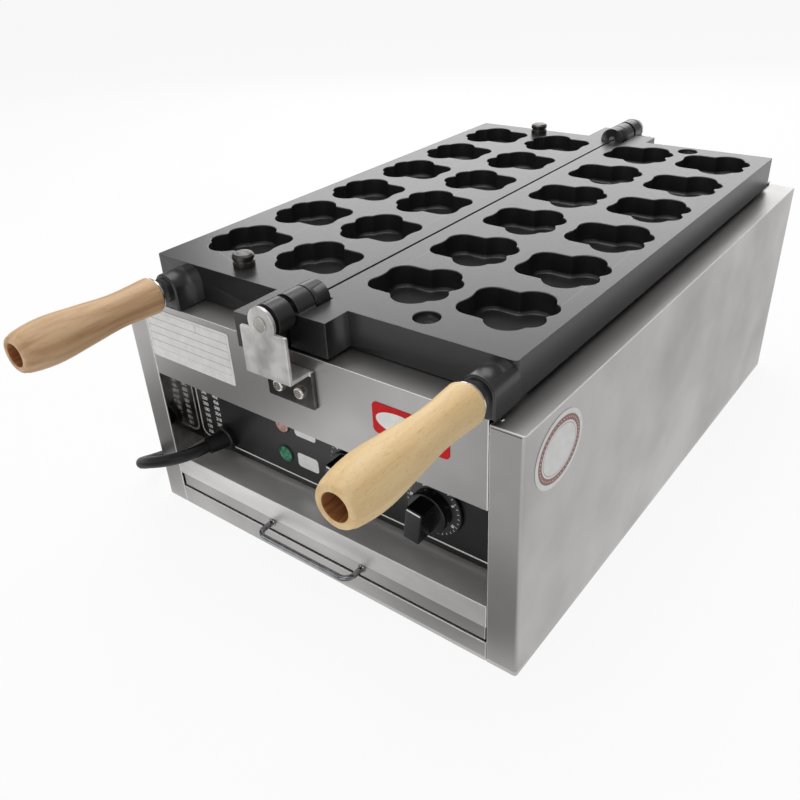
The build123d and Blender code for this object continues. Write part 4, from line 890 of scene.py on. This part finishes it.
class WAFFLE_OT_cord(bpy.types.Operator):
    """Adds the mains cord with its coil"""

    bl_idname = "waffle.cord"
    bl_label = "Mains cord"

    def execute(self, context):
        settings = context.scene.waffle_cord
        start, end = coil_place(0), coil_place(settings.turns)
        lead = (coil_place(0.001) - start).normalized()
        tail = (end - coil_place(settings.turns - 0.001)).normalized()
        lead_start = start - lead * 2 * settings.radius
        # A spline of order 3 runs inside its points, so the coil's points stand out by as much.
        steps = settings.points_a_turn
        stretch = 1 / math.cos(math.pi / steps)
        points = [Vector(p) for p in CORD_ROUTE]
        points += [lead_start - lead * COIL_LEAD_RUN, lead_start, start]
        points += [coil_place(i / steps, stretch) for i in range(1, round(settings.turns * steps))]
        points += [end, end + tail * 2 * settings.radius]
        curve = bpy.data.curves.new("mains_cord", "CURVE")
        curve.dimensions = "3D"
        spline = curve.splines.new("NURBS")
        spline.points.add(len(points) - 1)
        for control, point in zip(spline.points, points):
            control.co = (*point, 1)
        spline.order_u = 3
        spline.use_endpoint_u = True
        curve.resolution_u = 6
        curve.bevel_depth = settings.radius
        curve.bevel_resolution = 5
        curve.use_fill_caps = True
        curve.materials.append(finishes["rubber"])
        cord = bpy.data.objects.new("mains_cord", curve)
        context.scene.collection.objects.link(cord)
        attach(cord, "case")
        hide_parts("power_cord", "cord_coil")
        return {"FINISHED"}


# Case

SHEETS = {
    "left_side_wall": "left_wall_sheet",
    "right_side_wall": "right_wall_sheet",
    "front_panel": "front_panel_sheet",
    "back_panel": "back_panel_sheet",
    "control_shelf": "shelf_sheet",
    "base_pan": "base_sheet",
}
SEAM_INSET = 0.0022
SEAM_GAP = 0.0006
SEAM_DEPTHS = (0.0019, 0.0014)
RIVET_X = 0.1645
RIVET_BEHIND = 0.0085
RIVET_RADIUS = 0.0016
RIVET_FLATNESS = 0.45
RIVET_SUNK = 0.0001


class WAFFLE_OT_case(bpy.types.Operator):
    """Adds the folded sheets of the case, near-black strips of painted shade at their seams, and
    two rivets
    """

    bl_idname = "waffle.case"
    bl_label = "Case"

    def execute(self, context):
        for node, name in SHEETS.items():
            # The shelf takes the lighter copy of the sheet: its brightness is painted light.
            finish = "shelf_painted_light" if node == "control_shelf" else "sheet"
            # The sheets' rounded edges take the near-white edge finish: painted highlight.
            sheet = worked_copy(node, context.scene.waffle_metal.edge, own=(finish, "edge_painted_highlight"))
            settle(sheet, name, "case", None, [node])
        low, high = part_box("right_side_wall")
        post_inner = -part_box("left_side_wall")[1].x
        near, far = post_inner + SEAM_GAP, high.x - SEAM_INSET
        heights = [high.z - depth for depth in SEAM_DEPTHS]
        # Near-black bars on the posts' fronts where the folds meet: painted shade of the seams.
        seams = [inlaid_bar(x_span, low.y, heights) for x_span in ((-far, -near), (near, far))]
        settle(join(seams), "post_seams_painted_shade", "case", "seam")
        rivets = [self.rivet(context, x, low.y + RIVET_BEHIND, high.z) for x in (RIVET_X, -RIVET_X)]
        settle(join(rivets), "flange_rivets", "case", "zinc")
        return {"FINISHED"}

    def rivet(self, context, x, y, top):
        """A flat dome that stands on a flange."""
        deselect_all()
        bpy.ops.mesh.primitive_uv_sphere_add(
            segments=20, ring_count=12, radius=RIVET_RADIUS, location=(x, y, top),
        )
        rivet = context.object
        rivet.scale = (1, 1, RIVET_FLATNESS)
        apply_place()
        start_edit(rivet)
        bpy.ops.mesh.bisect(
            plane_co=(x, y, top - RIVET_SUNK), plane_no=(0, 0, 1), clear_inner=True, use_fill=True,
        )
        end_edit()
        smooth(rivet, 50)
        return rivet


# Controls

KNOB_TURN = math.radians(8)
SKIRT_DEPTH = 0.0025
KNOB_SOCKET = 0.003
KNOB_BODY_DEPTH = 0.009
KNOB_BODY_RADIUS = 0.0165
KNOB_BODY_RIM = 0.001
GRIP_HALVES = (0.0075, 0.0145)
GRIP_TAPER = (0.9, 1, 0.96)
TICK_HALF_WIDTH = 0.00025
TICK_SPAN = (0.0212, 0.0228)
DIAL_DIGIT = 0.0032
DIAL_DIGIT_RISE = 0.0182
# Each knob's body, ticks, degrees between ticks and numbers.
DIALS = {
    "timer_knob": ("timer_dial", 31, 11, (0, 5, 10, 15, 20, 25, 30)),
    "thermostat_knob": ("thermostat_dial", 26, 12, (50, 100, 150, 200, 250, 300)),
}

BORDER_HALF_WIDTH = 0.1588
BORDER_ABOVE_SHELF = 0.0054
BORDER_BELOW_TOP = 0.03
BORDER_CORNER = 0.008
TABLE_ROWS = 11
TABLE_PITCH = 0.0058
TABLE_BOTTOM = 0.063
# Each column's first number, the step down to the next one, and its place.
TABLE_COLUMNS = ((300, 20, -0.1478), (570, 36, -0.1334))
PATCH_X = (-0.039, -0.0165)
PATCH_HEIGHTS = ((0.071, 0.0845), (0.101, 0.115))
PATCH_CORNER = 0.003


def set_on_knob(piece, x, z):
    """Turns a piece made round the line x = z = 0 as the knob stands and moves it there."""
    pick(piece)
    apply_place()
    piece.rotation_euler = (0, KNOB_TURN, 0)
    piece.location = (x, 0, z)
    apply_place()
    return piece


def knob_pointer(front):
    """The inlaid line across the top of a knob's grip."""
    half_width = GRIP_HALVES[0] * GRIP_TAPER[0] - 0.001
    top = GRIP_HALVES[1] - 0.0014
    return inlaid_bar((-half_width, half_width), front, (top - 0.0013, top))


def knob_skirt(back, radius):
    """The flat disc of a knob, made round the line x = z = 0."""
    depth = SKIRT_DEPTH
    outline = [
        (0, KNOB_SOCKET), (0, radius - 0.0004), (0.0004, radius), (depth - 0.001, radius),
        (depth - 0.0003, radius - 0.0003), (depth, radius - 0.001), (depth, KNOB_SOCKET),
    ]
    skirt = turned(outline, (0, back, 0), 96)
    smooth(skirt, 38)
    return skirt


def knob_body(back, front):
    """The round body with its bar grip, made round the line x = z = 0."""
    start, end = SKIRT_DEPTH - 0.0004, SKIRT_DEPTH + KNOB_BODY_DEPTH
    outline = [(start, KNOB_SOCKET), (start, KNOB_BODY_RADIUS)]
    outline += quarter_round(end, KNOB_BODY_RADIUS, KNOB_BODY_RIM)
    outline += [(end, KNOB_SOCKET)]
    body = turned(outline, (0, back, 0), 72)
    smooth(body, 38)
    half_width, half_length = GRIP_HALVES
    grip = block(
        (-half_width, half_width), (front, back - end + 0.001), (-half_length, half_length),
    )
    pick(grip)
    bpy.ops.object.mode_set(mode="EDIT")
    select_faces(grip, lambda centre, normal: normal.y < -0.9)
    bpy.ops.transform.resize(value=GRIP_TAPER, center_override=(0, front, 0))
    end_edit()
    round_edges(grip, 0.0009, 3, 30)
    return join([body, grip])


def knob_scale(face, count, step, labels):
    """Ticks and plain numbers on a knob's skirt, made round the line x = z = 0."""
    y = face - 0.00005
    sweep = math.radians(step * (count - 1))
    tick = upright_sheet((-TICK_HALF_WIDTH, TICK_HALF_WIDTH), TICK_SPAN, y)
    start_edit(tick)
    bpy.ops.mesh.spin(
        steps=count - 1, angle=sweep, center=(0, y, 0), axis=(0, 1, 0), dupli=True,
    )
    end_edit()
    marks = [tick]
    for index, label in enumerate(labels):
        digits = printed_text(str(label), DIAL_DIGIT, (0, y, DIAL_DIGIT_RISE))
        digits.rotation_euler = (0, sweep * index / (len(labels) - 1), 0)
        marks.append(digits)
    return join(marks)


class WAFFLE_OT_controls(bpy.types.Operator):
    """Adds the knobs, the lamps' lenses and the printing on the panel"""

    bl_idname = "waffle.controls"
    bl_label = "Controls"

    def execute(self, context):
        for name, (body, count, step, labels) in DIALS.items():
            low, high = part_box(name)
            centre = (low.x + high.x) / 2, (low.z + high.z) / 2
            skirt = set_on_knob(knob_skirt(high.y, (high.x - low.x) / 2), *centre)
            moulding = set_on_knob(knob_body(high.y, low.y), *centre)
            scale = set_on_knob(knob_scale(high.y - SKIRT_DEPTH, count, step, labels), *centre)
            pointer = set_on_knob(knob_pointer(low.y), *centre)
            settle(moulding, name + "_moulding", body, "phenolic", [name])
            settle(skirt, name + "_skirt", body, "skirt")
            settle(scale, name + "_scale", body, "ink")
            settle(pointer, name + "_pointer", body, "ink")
        for colour in ("green", "red"):
            self.add_lens(colour)
        self.add_printing(context.scene.waffle_print)
        return {"FINISHED"}

    def add_lens(self, colour):
        """A shallow lens cut in flat facets like a jewel."""
        node = colour + "_lamp_lens"
        low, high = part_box(node)
        depth = high.y - low.y
        radius = (high.x - low.x) / 2
        outline = [
            (0, 0.0002), (0, radius), (depth * 0.35, radius), (depth * 0.8, radius * 0.74),
            (depth * 0.6, radius * 0.5), (depth, radius * 0.26), (depth, 0.0002),
        ]
        lens = turned(outline, ((low.x + high.x) / 2, high.y, (low.z + high.z) / 2), 14)
        settle(lens, colour + "_lens_jewel", "case", colour + "_lens", [node])

    def add_printing(self, settings):
        """The border, the table of numbers and the bare patches beside the lamps."""
        low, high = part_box("control_panel")
        y = low.y - 0.00006
        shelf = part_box("control_shelf")[1].z
        border = upright_sheet(
            (-BORDER_HALF_WIDTH, BORDER_HALF_WIDTH),
            (shelf + BORDER_ABOVE_SHELF, high.z - BORDER_BELOW_TOP), y,
        )
        cut_corners(border, BORDER_CORNER, 8, "VERTICES")
        leave_outline(border, settings.line)
        prints = [border]
        top = TABLE_BOTTOM + TABLE_PITCH * (TABLE_ROWS - 1)
        for first, step, x in TABLE_COLUMNS:
            words = "\n".join(str(first - step * row) for row in range(TABLE_ROWS))
            spacing = TABLE_PITCH / settings.digit
            prints.append(printed_text(words, settings.digit, (x, y, top), spacing))
        settle(join(prints), "panel_printing", "case", "ink")
        patches = []
        for z_span in PATCH_HEIGHTS:
            patch = upright_sheet(PATCH_X, z_span, y)
            cut_corners(patch, PATCH_CORNER, 5, "VERTICES")
            patches.append(patch)
        settle(join(patches), "lamp_patches", "case", "vinyl")


# Labels

PRINT_PROUD = 0.00004
RULE_MARGIN = 0.0022
RULE_BOTTOM = 0.0085
RULE_ROWS = 5
RULE_SPLIT = 0.058
RULE_WIDTH = 0.00016
OVAL_INSET = 0.0215
OVAL_HALVES = (0.0185, 0.0078)
RING_INSET = 0.0035
RING_WIDTH = 0.0042
DOT_COUNT = 44
DOT_INSET = 0.0056
DOT_RADIUS = 0.0005
DOT_PROUD = 0.00003
LINE_INSET = 0.0092
LINE_WIDTH = 0.0003


class WAFFLE_OT_labels(bpy.types.Operator):
    """Adds the bare rating plate and the generic stickers"""

    bl_idname = "waffle.labels"
    bl_label = "Rating plate and stickers"

    def execute(self, context):
        for node, finish, slot in (
            ("rating_plate", "vinyl", "white_plate"), ("front_badge", "red", "red_sticker"),
            ("side_badge", "vinyl", "white_sticker"),
        ):
            label = worked_copy(node, 0.00012, 1)
            settle(label, node + "_blank", "case", finish, [node])
        self.rule_plate()
        self.print_front_badge()
        self.print_side_badge()
        return {"FINISHED"}

    def rule_plate(self):
        """Thin rules of an empty table on the rating plate, with its top row split in two."""
        low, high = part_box("rating_plate")
        left, right = low.x + RULE_MARGIN, high.x - RULE_MARGIN
        bottom, top = low.z + RULE_BOTTOM, high.z - RULE_MARGIN
        row = (top - bottom) / RULE_ROWS
        table = upright_sheet((left, right), (bottom, top), low.y - PRINT_PROUD)
        start_edit(table)
        for index in range(1, RULE_ROWS):
            bpy.ops.mesh.select_all(action="SELECT")
            bpy.ops.mesh.bisect(plane_co=(0, 0, bottom + row * index), plane_no=(0, 0, 1))
        select_faces(table, lambda centre, normal: centre.z > top - row)
        bpy.ops.mesh.bisect(plane_co=(left + RULE_SPLIT, 0, 0), plane_no=(1, 0, 0))
        bpy.ops.mesh.select_all(action="SELECT")
        bpy.ops.mesh.inset(thickness=RULE_WIDTH, use_boundary=True, use_individual=True)
        bpy.ops.mesh.delete(type="FACE")
        end_edit()
        settle(table, "rating_plate_rules", "case", "rule")

    def print_front_badge(self):
        """A bare pale oval on the red sticker."""
        low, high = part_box("front_badge")
        place = (low.x + OVAL_INSET, low.y - PRINT_PROUD, (low.z + high.z) / 2)
        oval = flat_oval(place, OVAL_HALVES, (math.pi / 2, 0, 0))
        settle(oval, "front_badge_oval", "case", "vinyl")

    def print_side_badge(self):
        """A brown ring with pale dots round a bare middle, and a thin line inside it."""
        low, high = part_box("side_badge")
        x = high.x + PRINT_PROUD
        y, z = (low.y + high.y) / 2, (low.z + high.z) / 2
        half_y, half_z = (high.y - low.y) / 2, (high.z - low.z) / 2
        turn = (math.pi / 2, 0, math.pi / 2)

        def print_band(name, inset, width):
            band = flat_oval((x, y, z), (half_y - inset, half_z - inset), turn)
            leave_outline(band, width)
            settle(band, name, "case", "brown")

        print_band("side_badge_ring", RING_INSET, RING_WIDTH)
        dots = []
        for index in range(DOT_COUNT):
            angle = 2 * math.pi * index / DOT_COUNT
            place = (
                x + DOT_PROUD,
                y + (half_y - DOT_INSET) * math.cos(angle),
                z + (half_z - DOT_INSET) * math.sin(angle),
            )
            dots.append(flat_oval(place, (DOT_RADIUS, DOT_RADIUS), turn, 8))
        settle(join(dots), "side_badge_dots", "case", "vinyl")
        print_band("side_badge_line", LINE_INSET, LINE_WIDTH)


# Plates and hinges

PLATE_TOP = 0.23085
CAVITIES_X = (0.006, 0.1605)
CAVITIES_Y = (-0.2365, 0.2415)
FOOT_ABOVE_SCREWS = 0.004


def among_cavities(point):
    """Whether a point of a plate lies away from the plate's outer edges."""
    x_low, x_high = CAVITIES_X
    y_low, y_high = CAVITIES_Y
    return x_low < abs(point.x) < x_high and y_low < point.y < y_high


def on_rim(point):
    """Whether a point of a plate lies on a cavity's rim."""
    return among_cavities(point) and abs(point.z - PLATE_TOP) < 0.00002


class WAFFLE_OT_plates(bpy.types.Operator):
    """Adds the two coated plates with rounded rims, and their locating pins"""

    bl_idname = "waffle.plates"
    bl_label = "Plates"

    def execute(self, context):
        settings = context.scene.waffle_plate
        for side in ("left", "right"):
            node = side + "_plate"
            plate = plain_copy(node)
            give_finishes(plate, "casting", "rim_painted_highlight")
            self.round_rims(plate, settings)
            settle(plate, node + "_casting", node, None, [node])
        pins = worked_copy("locating_pins", 0.0003)
        settle(pins, "locating_studs", "left_plate", "steel", ["locating_pins"])
        return {"FINISHED"}

    def round_rims(self, plate, settings):
        """Rounds the cavities' rims, then the outer edges by less: some lie close together."""
        pick(plate)
        for width, test in (
            (settings.rim, on_rim),
            (settings.edge, lambda point: not among_cavities(point)),
        ):
            select_outer_edges(plate, 40, test)
            # The rounded faces take the lighter rim finish: painted highlight.
            bpy.ops.mesh.bevel(offset=width, segments=2, clamp_overlap=False, material=1)
        bpy.ops.mesh.select_mode(type="VERT")
        end_edit()
        even_shading(plate)


class WAFFLE_OT_hinges(bpy.types.Operator):
    """Adds the hinge brackets and their pins with rounded edges"""

    bl_idname = "waffle.hinges"
    bl_label = "Hinge brackets"

    def execute(self, context):
        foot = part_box("bracket_screws")[1].z + FOOT_ABOVE_SCREWS
        for end in ("front", "rear"):
            node = end + "_hinge_bracket"
            bracket = worked_copy(node, 0.0008, 3)
            settle(
                bracket, end + "_bracket_plate", "case", ["bracket", "foot"],
                [node],
            )
            # Faces below the foot's top take the dark foot finish: painted shade under the web.
            for face in bracket.data.polygons:
                if face.center.z < foot:
                    face.material_index = 1
        pins = worked_copy("hinge_pins", 0.0003)
        settle(pins, "hinge_pin_rods", "case", "zinc", ["hinge_pins"])
        return {"FINISHED"}


# Handles

# Distances from the inner end, and radii there.
HANDLE_PROFILE = (
    (0, 0.014), (0.033, 0.0127), (0.0615, 0.015), (0.0855, 0.0168), (0.101, 0.0158),
    (0.113, 0.0128),
)
HANDLE_START_SLOPE = -0.02
HANDLE_END_SLOPE = -0.45
HANDLE_BORE = 0.0041
HANDLE_POCKET = 0.0081
HANDLE_POCKET_DEPTH = 0.055
HANDLE_POINTS = 30
HANDLE_POINTS_START = 0.0025
HANDLE_POINTS_STEP = 0.0036
HANDLE_END_RUN = 0.0045
HANDLE_LIP = 0.0024


def handle_slope(index):
    """Slope of the handle's profile at one of its points."""
    if index == 0:
        return HANDLE_START_SLOPE
    if index == len(HANDLE_PROFILE) - 1:
        return HANDLE_END_SLOPE
    (a, r), (b, s) = HANDLE_PROFILE[index - 1], HANDLE_PROFILE[index + 1]
    return (s - r) / (b - a)


def handle_radius(distance):
    """Radius of the handle at a distance from its inner end, on a smooth curve."""
    for index in range(len(HANDLE_PROFILE) - 1):
        (a, r), (b, s) = HANDLE_PROFILE[index:index + 2]
        if distance <= b:
            run = b - a
            t = (distance - a) / run
            return (
                (2 * t**3 - 3 * t**2 + 1) * r
                + (t**3 - 2 * t**2 + t) * run * handle_slope(index)
                + (-2 * t**3 + 3 * t**2) * s
                + (t**3 - t**2) * run * handle_slope(index + 1)
            )
    return HANDLE_PROFILE[-1][1]


def handle_outline(length):
    """Closed outline of a handle with a bore and a wider pocket at its outer end."""
    bore, pocket = HANDLE_BORE, HANDLE_POCKET
    distances = [HANDLE_POINTS_START + i * HANDLE_POINTS_STEP for i in range(HANDLE_POINTS)]
    distances.append(length - HANDLE_END_RUN)
    outline = [(0, bore), (0, 0.0115), (0.0008, 0.0131)]
    outline += [(distance, handle_radius(distance)) for distance in distances]
    outline += quarter_round(length, handle_radius(length - HANDLE_LIP) - 0.0004, HANDLE_LIP)
    outline += [
        (length, pocket + 0.0012), (length - 0.0004, pocket + 0.0004), (length - 0.0012, pocket),
        (length - 0.02, pocket), (length - HANDLE_POCKET_DEPTH, pocket),
        (length - HANDLE_POCKET_DEPTH, bore),
    ]
    return outline


class WAFFLE_OT_handles(bpy.types.Operator):
    """Adds the turned wooden handles"""

    bl_idname = "waffle.handles"
    bl_label = "Wooden handles"

    def execute(self, context):
        for side, outside in (("left", "red_wood"), ("right", "wood")):
            node = side + "_handle"
            low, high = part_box(node)
            x, z = (low.x + high.x) / 2, (low.z + high.z) / 2
            handle = turned(handle_outline(high.y - low.y), (x, high.y, z), 72)
            smooth(handle)
            settle(
                handle, side + "_turned_handle", side + "_plate", [outside, "bore"],
                [node],
            )
            for face in handle.data.polygons:
                from_axis = math.hypot(face.center.x - x, face.center.z - z)
                if from_axis < HANDLE_POCKET + 0.0002 and face.center.y < high.y - 0.005:
                    face.material_index = 1
        return {"FINISHED"}


# Crumb tray

COLLAR_INSET = 0.0024
COLLAR_OUTLINE = [(0, 0.0022), (0, 0.0036), (0.0005, 0.0036), (0.0011, 0.003), (0.0011, 0.0022)]


class WAFFLE_OT_tray(bpy.types.Operator):
    """Adds the crumb tray and the collars of its handle"""

    bl_idname = "waffle.tray"
    bl_label = "Crumb tray"

    def execute(self, context):
        edge = context.scene.waffle_metal.edge * 0.8
        # The tray's rounded edges take the near-white edge finish: painted highlight.
        tray = worked_copy("crumb_tray", edge, own=("sheet", "edge_painted_highlight"))
        settle(tray, "crumb_tray_sheet", "crumb_tray", None, ["crumb_tray"])
        low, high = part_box("tray_handle")
        collars = []
        for x in (low.x + COLLAR_INSET, high.x - COLLAR_INSET):
            collar = turned(COLLAR_OUTLINE, (x, high.y, (low.z + high.z) / 2), 40)
            smooth(collar, 30)
            collars.append(collar)
        settle(join(collars), "tray_handle_collars", "crumb_tray", "chrome")
        return {"FINISHED"}


# Finishes of the CAD nodes that stay as they are

NODE_FINISHES = {
    "polished": ("left_liner", "right_liner"),
    "panel": ("control_panel",),
    "galvanised": ("heat_shield", "tray_runners", "element_rails"),
    "element": (
        "left_inner_element", "left_outer_element", "right_inner_element", "right_outer_element",
    ),
    "brass": ("element_nuts", "plug_pins"),
    "zinc": (
        "element_terminals", "bracket_screws", "tray_handle_screws", "left_handle_rod",
        "right_handle_rod", "left_handle_washer", "right_handle_washer",
    ),
    "copper": ("thermostat_bulb", "thermostat_capillary"),
    "white_plastic": ("thermostat_body", "timer_body", "terminal_block"),
    "steel": ("thermostat_shaft", "timer_shaft", "left_handle_nut", "right_handle_nut"),
    "nylon": ("lamp_bodies", "cable_gland", "gland_nut"),
    "wire": ("control_wires",),
    "rubber": ("strain_relief", "plug_boot", "plug_body"),
    "chrome": ("tray_handle",),
}


class WAFFLE_OT_node_finishes(bpy.types.Operator):
    """Gives the CAD nodes that are shown as they are their finishes"""

    bl_idname = "waffle.node_finishes"
    bl_label = "Finishes of the remaining nodes"

    def execute(self, context):
        for finish, nodes in NODE_FINISHES.items():
            for node in nodes:
                for place in frame["nodes"][node].material_slots:
                    place.material = finishes[finish]
        return {"FINISHED"}


OPERATORS = (
    WAFFLE_OT_stage,
    WAFFLE_OT_cord,
    WAFFLE_OT_case,
    WAFFLE_OT_controls,
    WAFFLE_OT_labels,
    WAFFLE_OT_plates,
    WAFFLE_OT_hinges,
    WAFFLE_OT_handles,
    WAFFLE_OT_tray,
    WAFFLE_OT_node_finishes,
)


class WAFFLE_PT_panel(bpy.types.Panel):
    """Lists the steps that build the waffle maker's looks"""

    bl_idname = "WAFFLE_PT_panel"
    bl_label = "Paw Waffle Maker"
    bl_space_type = "VIEW_3D"
    bl_region_type = "UI"
    bl_category = "Waffle Maker"

    def draw(self, context):
        for name, group in GROUPS.items():
            box = self.layout.box()
            settings = getattr(context.scene, name)
            for key in group.__annotations__:
                box.prop(settings, key)
        for operator in OPERATORS:
            self.layout.operator(operator.bl_idname)


def register():
    for name, group in GROUPS.items():
        bpy.utils.register_class(group)
        setattr(bpy.types.Scene, name, PointerProperty(type=group))
    for item in (*OPERATORS, WAFFLE_PT_panel):
        bpy.utils.register_class(item)


def unregister():
    for item in reversed((*OPERATORS, WAFFLE_PT_panel)):
        bpy.utils.unregister_class(item)
    for name, group in GROUPS.items():
        delattr(bpy.types.Scene, name)
        bpy.utils.unregister_class(group)


def main():
    """Builds everything in order."""
    register()
    finishes.update(make_materials())
    for operator in OPERATORS:
        category, name = operator.bl_idname.split(".")
        getattr(getattr(bpy.ops, category), name)()
    deselect_all()


if __name__ == "__main__":
    main()
